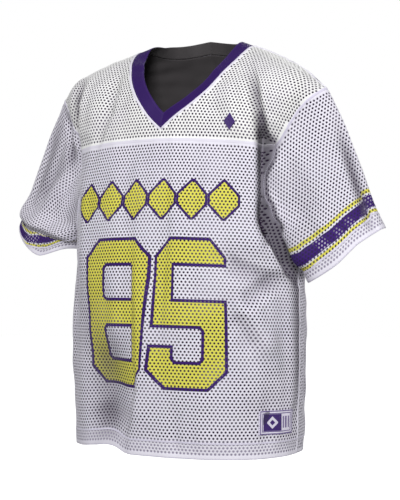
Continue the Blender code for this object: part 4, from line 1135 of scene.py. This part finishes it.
yokeRows = rowsUpTo([(1.0005, tipV, 9), (tipV, 2, 60)])
grids = []
for sign in (1, -1):
    inner, outer = neckFrontP(yokeRows, sign)[:, None], armEdge("front", yokeRows)[:, None]
    p = (inner + (outer - inner) * np.linspace(0, 1, 61)) * sign
    grids.append(panelGrid(front, p, np.repeat(yokeRows[:, None], 61, axis=1), sign))
yokeWall = wallShell("front_yoke_wall", grids, finishes["yokeWall"])

backRows = np.concatenate([bodyRows[:-1], rowsUpTo([(1, 2, 60)])])[:, None]
share = np.linspace(-1, 1, 151)
top = neckBackV(share * armhole["back"][-1])
v = np.where(backRows <= 1, backRows, 1 + (backRows - 1) * (top - 1))
backWall = wallShell("back_wall", [panelGrid(back, armEdge("back", backRows) * share, v)], finishes["bodyWall"])

reach = body["halfGirth"] + 0.01
wide, wider = (-reach, reach), (-reach - 0.01, reach + 0.01)
frontNet = knitNet("front_body_net", bodySpot, (wide, (0, bodyLength)), front.place, finishes["bodyNet"])
yokeNet = knitNet("front_yoke_net", yokeSpot, (wider, (0, 0.34)), front.place, finishes["yokeNet"])
backNet = knitNet("back_net", backSpot, (wider, (0, bodyLength + 0.36)), back.place, finishes["backNet"])

sleeveWalls, sleeveNets = {}, {}
for name, form in sleeves.items():
    cuffT = 1 - body["doubledTall"] / float(form.length.mean())
    angle, t = np.meshgrid(np.linspace(-math.pi, math.pi, 141), rowsUpTo([(0, cuffT, 50), (cuffT, 1, 4)]))
    uv = form.pattern(angle, t)
    depth = np.where(uv[..., 1] < body["doubledTall"], body["doubled"], body["wall"])
    grid = (*form.at(angle, t), uv, depth, form.sign > 0, form.trough(angle, t))
    sleeveWalls[name] = wallShell(f"sleeve_{name}_wall", [grid], finishes["sleeveWall"])
    span = ((-0.35, 0.35), (0, form.reach))
    sleeveNets[name] = knitNet(f"sleeve_{name}_net", form.spot, span, form.place, finishes["sleeveNet"])
print("jersey: walls and nets made")


# seams, as soft tapes over the panels' edges, and the rolled folds of hem and cuffs
seams = {
    "wide": 0.0056, "tall": 0.0010, "chest": (0.0060, 0.0007), "armhole": (0.0046, 0.0006), "side": (0.0044, 0.0005),
    "hem": (0.0026, 0.0003), "hemLine": 0.0268, "roll": 0.0014, "rollIn": 0.0012, "lift": 0.0003,
}


def seamTape(name, points, normals, size=(seams["wide"], seams["tall"]), finish="seam", closed=False, shade=None):
    # a flat band laid on the cloth along a line
    points = points + normals * seams["lift"]
    return carried(name, points, normals, flatBand(*size), finishes[finish], closed, shade)


def rolledEdge(name, points, normals):
    # the round fold at the edge of turned-up cloth
    points = points - normals * seams["rollIn"]
    return carried(name, points, normals, roundCord(seams["roll"]), finishes["hemTape"], True)


def bodyRing(v):
    # once round the torso at one height: across the front, then across the back
    across = np.linspace(-body["halfGirth"], body["halfGirth"], 220)
    rings = [side.at(across * -side.sign, v) for side in (front, back)]
    return [np.concatenate([rings[0][k], rings[1][k][1:]]) for k in (0, 1)]


def cuffLine(form):
    # where the doubled cuff ends, along the lower edge of the print
    angle = np.linspace(0, 2 * math.pi, 300)
    d = np.maximum(seams["hemLine"] + form.around("stripeShift", angle), 0.005)
    return form.at(angle, 1 - d / np.interp(angle, form.angles, form.length))


chestP = np.linspace(-1, 1, 260) * armEdge("front", 1.0)
chestLine = front.at(chestP, 1.0)
chestShade = front.trough(chestP, np.ones(260))
tapes = [seamTape("chest_seam", *chestLine, seams["chest"], shade=chestShade)]
for name, form in sleeves.items():
    panel = unit(form.flat + form.normals[0])
    underarm = form.at(np.full(80, math.pi), np.linspace(0.004, 0.999, 80))
    shoulder = front.at(np.linspace(neckP + 0.001, armhole["front"][-1] - 0.001, 90) * form.sign, 2.0)
    sideSeam = front.at(body["halfGirth"] * form.sign, np.linspace(0.001, armpitV - 0.004, 160))
    cuff = form.at(np.linspace(0, 2 * math.pi, 300), np.ones(300))
    tapes += [
        seamTape(f"armhole_seam_{name}", form.edge, panel, seams["armhole"], "hemTape", True, form.edgeShade),
        seamTape(f"underarm_seam_{name}", *underarm),
        seamTape(f"shoulder_seam_{name}", *shoulder),
        seamTape(f"side_seam_{name}", *sideSeam, seams["side"]),
        seamTape(f"cuff_line_{name}", *cuffLine(form), seams["hem"], "hemTape", True),
        rolledEdge(f"cuff_edge_{name}", *cuff),
    ]
hemLine = bodyRing(seams["hemLine"] / bodyLength)
tapes += [seamTape("hem_line", *hemLine, seams["hem"], "hemTape", True), rolledEdge("hem_edge", *bodyRing(0.0))]
print("jersey: seams made")

# stitches: one short tapered thread for every pitch along a line
stitch = {
    "pitch": 0.0036, "length": 0.0026, "radius": 0.00028, "sides": 5, "rings": (0.12, 0.87, 1.12, 0.87, 0.12),
    "arch": 0.18, "apart": 0.0016, "armhole": (0.0008, 0.0018), "chest": (0.0012, 0.0018),
}


def stitchRow(name, points, normals, finish, height, aside=0.0):
    # rings of a thread round short straight runs of the line, lower at both ends
    run = runOf(points)
    at = np.arange(stitch["pitch"] / 2, run[-1], stitch["pitch"])
    normal, forward = (unit(along(k, run, at)) for k in (normals, np.gradient(points, axis=0)))
    sideways = unit(np.cross(normal, forward))
    where = along(points, run, at) + normal * height + sideways * aside
    rings, sides = np.array(stitch["rings"])[:, None], stitch["sides"]
    turn = np.linspace(0, 2 * math.pi, sides, endpoint=False)
    lengths = np.linspace(-0.5, 0.5, len(rings))[:, None] * stitch["length"]
    across = rings * np.cos(turn) * stitch["radius"]
    up = rings * np.sin(turn) * stitch["radius"] - np.abs(lengths) * stitch["arch"]
    where, forward, sideways, normal = (k[:, None, None] for k in (where, forward, sideways, normal))
    made = where + forward * lengths[..., None] + sideways * across[..., None] + normal * up[..., None]
    start = (np.arange(len(at)) * len(rings) * sides)[:, None, None]
    caps = np.stack([np.arange(sides)[::-1], (len(rings) - 1) * sides + np.arange(sides)])
    quads = gridQuads(len(rings), sides, closedColumns=True)
    faces = [(quads + start).reshape(-1, 4), (caps + start).reshape(-1, sides)]
    uv = together(at[:, None, None] + lengths, turn * 0.0003)
    return makeMesh(name, made.reshape(-1, 3), faces, finishes[finish], uv.reshape(-1, 2))


def doubleStitches(names, line, height):
    # a row of stitches on each side of a line
    return [stitchRow(f"{names}_{k}", *line, "thread", height, (2 * k - 1) * stitch["apart"]) for k in (0, 1)]


for name, form in sleeves.items():
    tapes += doubleStitches(f"cuff_stitches_{name}", cuffLine(form), 0.0007)
    panel = unit(form.flat + form.normals[0])
    tapes.append(stitchRow(f"armhole_stitches_{name}", form.edge, panel, "hemTape", *stitch["armhole"]))
tapes += doubleStitches("hem_stitches", hemLine, 0.0009)
tapes.append(stitchRow("chest_stitches", *chestLine, "thread", *stitch["chest"]))
print("jersey: stitches made")

# the collar: a closed profile carried round the neckline, slanted to a mitre at the V
collar = {
    "width": 0.024, "gap": 0.0003, "wall": 0.0020, "crown": 0.0006, "shear": 0.10, "threadAt": 0.0022,
    "threadOut": 0.0002, "seamIn": 0.0016, "seam": (0.0044, 0.0008), "steps": 150,
}
# its stand from the panels in degrees, by the distance along each half: where negative, it leans in
collarStand = {
    "run": [0.000, 0.060, 0.100, 0.140, 0.180, 0.210, 0.245, 0.280, 0.310, 0.350, 0.410],
    "left": [-8, -16, -18, -18, -12, -2, 5, 0, 4, 14, 20],
    "right": [-8, -14, -20, -24, -28, -26, -12, 0, 8, 14, 20],
}


def relaxed(values, times):
    # each value drawn towards the mean of its neighbours, a number of times
    for _ in range(times):
        values = np.concatenate([values[:1], (values[:-2] + 2 * values[1:-1] + values[2:]) / 4, values[-1:]])
    return values


def neckHalf(sign):
    # the neckline from the V's tip to the centre back: points, the direction across the band, and its face's
    v = np.linspace(tipV, 2, 60)
    p = np.linspace(neckP, 0, 60)[1:]
    parts = [front.at(sign * neckFrontP(v, sign), v), back.at(sign * p, neckBackV(p))]
    line, flat = (np.concatenate([part[k] for part in parts]) for k in (0, 1))
    line = relaxed(line, 6)
    run = runOf(line)
    forward = unit(np.gradient(line, run, axis=0))
    forward[-1] = (-sign, 0, 0)
    inward = unit(relaxed(unit(np.cross(relaxed(flat, 8), forward)) * sign, 8))
    flat = unit(np.cross(forward, inward)) * sign
    stand = np.radians(column(collarStand, "run", "left" if sign > 0 else "right", run))[:, None]
    rise = inward * np.cos(stand) + flat * np.sin(stand)
    face = flat * np.cos(stand) - inward * np.sin(stand)
    mitre = collar["width"] * math.hypot(forward[0, 1], forward[0, 2]) / abs(forward[0, 0])
    seam = flat * np.cos(stand / 2) - inward * np.sin(stand / 2)
    return line, run, rise, face, mitre, seam


neckHalves = {sign: neckHalf(sign) for sign in (1, -1)}


def bandRows(sign, shares, outs):
    # points of the band at shares of its width and heights over its face, for places along the neckline
    line, run, rise, face, mitre, _ = neckHalves[sign]
    ats = np.linspace(0, 1, collar["steps"])[:, None] ** 1.15 * run[-1]
    at = ats + shares * mitre * np.clip(1 - ats / collar["shear"], 0, 1)
    across, out = unit(along(rise, run, at)), unit(along(face, run, at))
    points = along(line, run, at) + across * (collar["gap"] + collar["width"] * shares)[:, None] + out * outs[:, None]
    points[0, :, 0] = points[-1, :, 0] = 0
    return points, out, at * sign


def collarMesh(material):
    # the profile runs up the outside, over the rounded free edge and down the inside
    turn, face, half = np.linspace(0, math.pi, 9), np.linspace(0, 1, 11)[1:-1], collar["wall"] / 2
    shares = np.concatenate([[0.0], face, 1 - half / collar["width"] * (1 - np.sin(turn)), face[::-1], [0.0]])
    crown = collar["crown"] * np.sin(math.pi * face) ** 0.5
    outs = np.concatenate([[-0.0002], crown, half * (np.cos(turn) - 1), np.full(10, -collar["wall"])])
    (left, _, leftAt), (right, _, rightAt) = (bandRows(sign, shares, outs) for sign in (1, -1))
    tip, nape = (left[0] + right[0]) / 2, (left[-1] + right[-1]) / 2
    rows = np.concatenate([[nape], right[-2:0:-1], [tip], left[1:-1]])
    places = np.concatenate([rightAt[:0:-1], leftAt[:-1]])
    uv = together(places, shares * collar["width"])
    quads = turned(gridQuads(len(rows), len(shares), True, True))
    marks = {"inside": np.tile(np.arange(len(shares)) > 1 + len(face) + len(turn) // 2, len(rows))}
    return makeMesh("collar_knit_band", rows.reshape(-1, 3), [quads], material, uv.reshape(-1, 2), None, marks)


knit = Finish("collarKnit", Sheen_Weight=0.06, Sheen_Roughness=0.4, Specular_IOR_Level=0.2)
x, y = knit.cloth()
rib = x.wave(0.0016)
fine = knit.noise(600.0)
acrossX, aheadY = (knit.axis(knit.where(), number) for number in (0, 1))
mitreLine = (abs(acrossX) - 0.0005).within(0.0005) * (aheadY * -1).math("GREATER_THAN", 0.02)
# a lighter line near the rounded free edge, a painted highlight
edgeLight = (abs(y - 0.0215) - 0.0008).within(0.0015)
colour = knit.blend(knit.noise(22.0) * 0.5 + rib * 0.05, (0.018, 0.003, 0.076), (0.036, 0.008, 0.122))
colour = knit.blend(edgeLight * 0.25, colour, (0.070, 0.030, 0.18))
colour = knit.blend(mitreLine * 0.7, colour, (0.018, 0.004, 0.07))
# the inside face is painted shade
knit.link("Base Color", knit.blend(knit.mark("inside"), colour, colours["insideShade"]))
knit.link("Roughness", fine * 0.2 + 0.42)
knit.bump(rib * 0.5 + fine * 0.8, 0.35, 0.0004)
collarBand = collarMesh(knit.material)

for sign, word in ((1, "left"), (-1, "right")):
    line, _, rise, _, _, seamNormal = neckHalves[sign]
    seamTape(f"neck_seam_{word}", line - rise * collar["seamIn"], seamNormal, collar["seam"])
    points, out, _ = bandRows(sign, np.array([collar["threadAt"] / collar["width"]]), np.array([collar["threadOut"]]))
    points, out = points[1:-1, 0], out[1:-1, 0]
    stitchRow(f"collar_stitches_{word}", points, out, "purpleThread", collar["threadOut"])
print("jersey: collar made")

# the label above the hem: a woven patch with plain blocks, sewn round its edge; half sizes in the woven figures
label = {
    "p": 0.236, "v": 0.112, "wide": 0.076, "tall": 0.043, "out": 0.0013, "thick": 0.0011, "rows": 12, "columns": 64,
    "stitchesIn": 0.975, "thread": 0.0009,
    "frames": ((0.0345, 0.0200, 0.0008), (0.0300, 0.0160, 0.0007)), "blockX": -0.0100, "block": (0.0180, 0.0150),
    "lozenge": (0.0100, 0.0120, 0.0110), "lozengeHole": (0.0045, 0.0055, 0.0050),
    "bars": ((0.0125, 0.0016), (0.0185, 0.0020), (0.0250, 0.0016)), "barTall": 0.0105,
    "white": (0.74, 0.71, 0.82), "grey": (0.60, 0.56, 0.70), "violet": (0.050, 0.014, 0.165),
    "dark": (0.030, 0.007, 0.115),
}
# the small plain lozenge on the chest, in raised satin thread
motif = {
    "p": 0.142, "v": 1.148, "wide": 0.024, "tall": 0.030, "out": 0.0014, "thick": 0.0010, "rows": 8, "columns": 48,
    "thread": 0.0011, "dark": (0.030, 0.007, 0.115), "light": (0.060, 0.020, 0.19),
}


def patch(name, outline, sizes, unitLength, material):
    # rings of one outline shrunk towards its middle, laid on the front and moved out, closed underneath
    edge = outline(np.linspace(0, 2 * math.pi, sizes["columns"], endpoint=False))
    shares = np.concatenate([[1.0, 1.0], np.linspace(0.985, 0.0, sizes["rows"])])[:, None]
    out = sizes["out"]
    outs = np.concatenate([[out - sizes["thick"], out - 0.0002], np.full(sizes["rows"], out)])[:, None]
    x = edge[:, 0] * shares * sizes["wide"] / 2
    y = edge[:, 1] * shares * sizes["tall"] / 2 * (bodyLength / unitLength)
    points, _ = front.at(sizes["p"] + x, sizes["v"] + y / bodyLength, outs)
    points[-1] = points[-1].mean(axis=0)
    faces = [gridQuads(len(shares), len(edge), closedColumns=True), np.arange(len(edge))[None, ::-1]]
    return makeMesh(name, points.reshape(-1, 3), faces, material, together(x, y).reshape(-1, 2))


def rectangle(turn):
    # where a ray from the middle meets a square: divided by the larger of |x| and |y|
    ray = together(np.cos(turn), np.sin(turn))
    return ray / np.abs(ray).max(axis=-1, keepdims=True)


def lozenge(turn):
    # where it meets a square on its corner: divided by |x| + |y|
    ray = together(np.cos(turn), np.sin(turn))
    return ray / np.abs(ray).sum(axis=-1, keepdims=True)


weave = Finish("labelWeave", Sheen_Weight=0.05, Specular_IOR_Level=0.25)
x, y = weave.cloth()
threads = x.wave(label["thread"]) * y.wave(label["thread"])
colour = weave.blend(threads * 0.2 + 0.2, label["white"], label["grey"])
for halfWide, halfTall, line in label["frames"]:
    colour = weave.blend((abs(cutBox(x, y, halfWide, halfTall)) - line).within(), colour, label["violet"])
blockX = x - label["blockX"]
colour = weave.blend(cutBox(blockX, y, *label["block"]).within(), colour, label["dark"])
figure = most(cutBox(blockX, y, *label["lozenge"]), cutBox(blockX, y, *label["lozengeHole"]) * -1)
colour = weave.blend(figure.within() * 0.85, colour, label["white"])
for across, halfWide in label["bars"]:
    bar = cutBox(x - across, y, halfWide, label["barTall"])
    colour = weave.blend(bar.within() * 0.85, colour, label["violet"])
weave.link("Base Color", colour)
weave.link("Roughness", threads * 0.1 + 0.55)
weave.bump(threads, 0.4, 0.0003)
labelPatch = patch("hem_label_patch", rectangle, label, bodyLength, weave.material)
edge = rectangle(np.linspace(0, 2 * math.pi, 200)) * label["stitchesIn"]
x, y = edge[:, 0] * label["wide"] / 2, edge[:, 1] * label["tall"] / 2
sewn = front.at(label["p"] + x, label["v"] + y / bodyLength)
labelStitches = stitchRow("label_stitches", *sewn, "purpleThread", label["out"] + 0.0001)

satin = Finish("satinThread", Sheen_Weight=0.1, Specular_IOR_Level=0.3)
x, y = satin.cloth()
threads = (x + y).wave(motif["thread"])
satin.link("Base Color", satin.blend(threads * 0.3 + 0.3, motif["dark"], motif["light"]))
satin.link("Roughness", threads * 0.1 + 0.4)
satin.bump(threads, 0.5, 0.0004)
motifPatch = patch("chest_lozenge", lozenge, motif, float(front.rowHeight(motif["p"])), satin.material)
print("jersey: label and lozenge made")

# what stands for which solid, and its slot's name; here each solid's own part is hidden
pairs = [
    (frontWall, "front_body", "white_mesh"), (yokeWall, "front_yoke", "white_mesh"), (backWall, "back", "white_mesh"),
    (sleeveWalls["left"], "sleeve_left", "white_mesh"), (sleeveWalls["right"], "sleeve_right", "white_mesh"),
    (collarBand, "collar_band", "purple_knit"), (labelPatch, "hem_label", "purple_label"),
]
for piece, node, slot in pairs:
    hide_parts(node)


def sewnOn(words, word=""):
    # the tapes and stitches whose names start with one of some words and hold another
    return [piece for piece in tapes if piece.name.startswith(words) and word in piece.name]


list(sewnOn(("chest", "side", "hem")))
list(sewnOn("shoulder"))
for name in sleeves:
    "sleeve_" + name
    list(sewnOn(("cuff", "arm", "under"), name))

# camera, floor and light
view = {
    "azimuth": 28.0, "distance": 2.4, "height": -0.383, "near": 0.05, "sensor": 36,
    "focal": 1279.0, "originX": 196.5, "imageWide": 400, "imageTall": 500,  # in the picture's pixels
}
floor = {"z": -1.02, "radius": 7.0, "corners": 96}
lights = {
    "keyLight": {"place": (1.05, -2.62, 1.05), "aim": (0, 0, -0.38), "size": 1.0, "power": 96},
    "fillLight": {"place": (2.9, 0.7, -0.1), "aim": (0, 0, -0.35), "size": 1.6, "power": 14},
    "backLight": {"place": (-0.5, 2.7, 1.1), "aim": (0, 0, -0.3), "size": 2.0, "power": 30},
}
sky = {"light": 0.27, "seen": 1.0}
scene = bpy.context.scene


def placed(name, data):
    # a new object in the scene
    obj = bpy.data.objects.new(name, data)
    scene.collection.objects.link(obj)
    return obj


camera = placed("camera", bpy.data.cameras.new("camera"))
angle = math.radians(view["azimuth"])
camera.location = (view["distance"] * math.sin(angle), -view["distance"] * math.cos(angle), view["height"])
camera.rotation_euler = (math.pi / 2, 0, angle)
camera.data.sensor_width = view["sensor"]
camera.data.lens = view["focal"] / view["imageTall"] * view["sensor"]
camera.data.shift_x = (view["imageWide"] / 2 - view["originX"]) / view["imageTall"]
camera.data.clip_start = view["near"]
scene.camera = camera

ground = Finish(
    "paleFloor", Base_Color=(0.9, 0.9, 0.9, 1), Roughness=0.9, Specular_IOR_Level=0.1,
    Emission_Color=(1, 1, 1, 1), Emission_Strength=0.85,
)
turn = np.linspace(0, 2 * math.pi, floor["corners"], endpoint=False)
disc = together(floor["radius"] * np.cos(turn), floor["radius"] * np.sin(turn), floor["z"])
mesh = bpy.data.meshes.new("floor")
mesh.from_pydata(disc.tolist(), [], [tuple(range(floor["corners"]))])
mesh.materials.append(ground.material)
floorDisc = placed("floor", mesh)
floorDisc.visible_diffuse = False


def areaLight(name, light):
    # a square lamp whose own +Z points away from what it is aimed at
    lamp = placed(name, bpy.data.lights.new(name, "AREA"))
    lamp.data.size, lamp.data.energy = light["size"], light["power"]
    place = np.array(light["place"], float)
    behind = unit(place - light["aim"])
    sideways = unit(np.cross((0, 0, 1), behind))
    matrix = np.eye(4)
    matrix[:3] = together(sideways, np.cross(behind, sideways), behind, place)
    lamp.matrix_world = Matrix(matrix.tolist())


for name, light in lights.items():
    areaLight(name, light)
world = bpy.data.worlds.new("studio")
scene.world = world
world.use_nodes = True
background = world.node_tree.nodes["Background"]
background.inputs["Color"].default_value = (1, 1, 1, 1)
seen = Nodes(world.node_tree).node("ShaderNodeLightPath", None, None, "Is Camera Ray")
strength = seen * (sky["seen"] - sky["light"]) + sky["light"]
world.node_tree.links.new(strength.socket, background.inputs["Strength"])
scene.view_settings.view_transform = "Standard"

print("jersey: done")
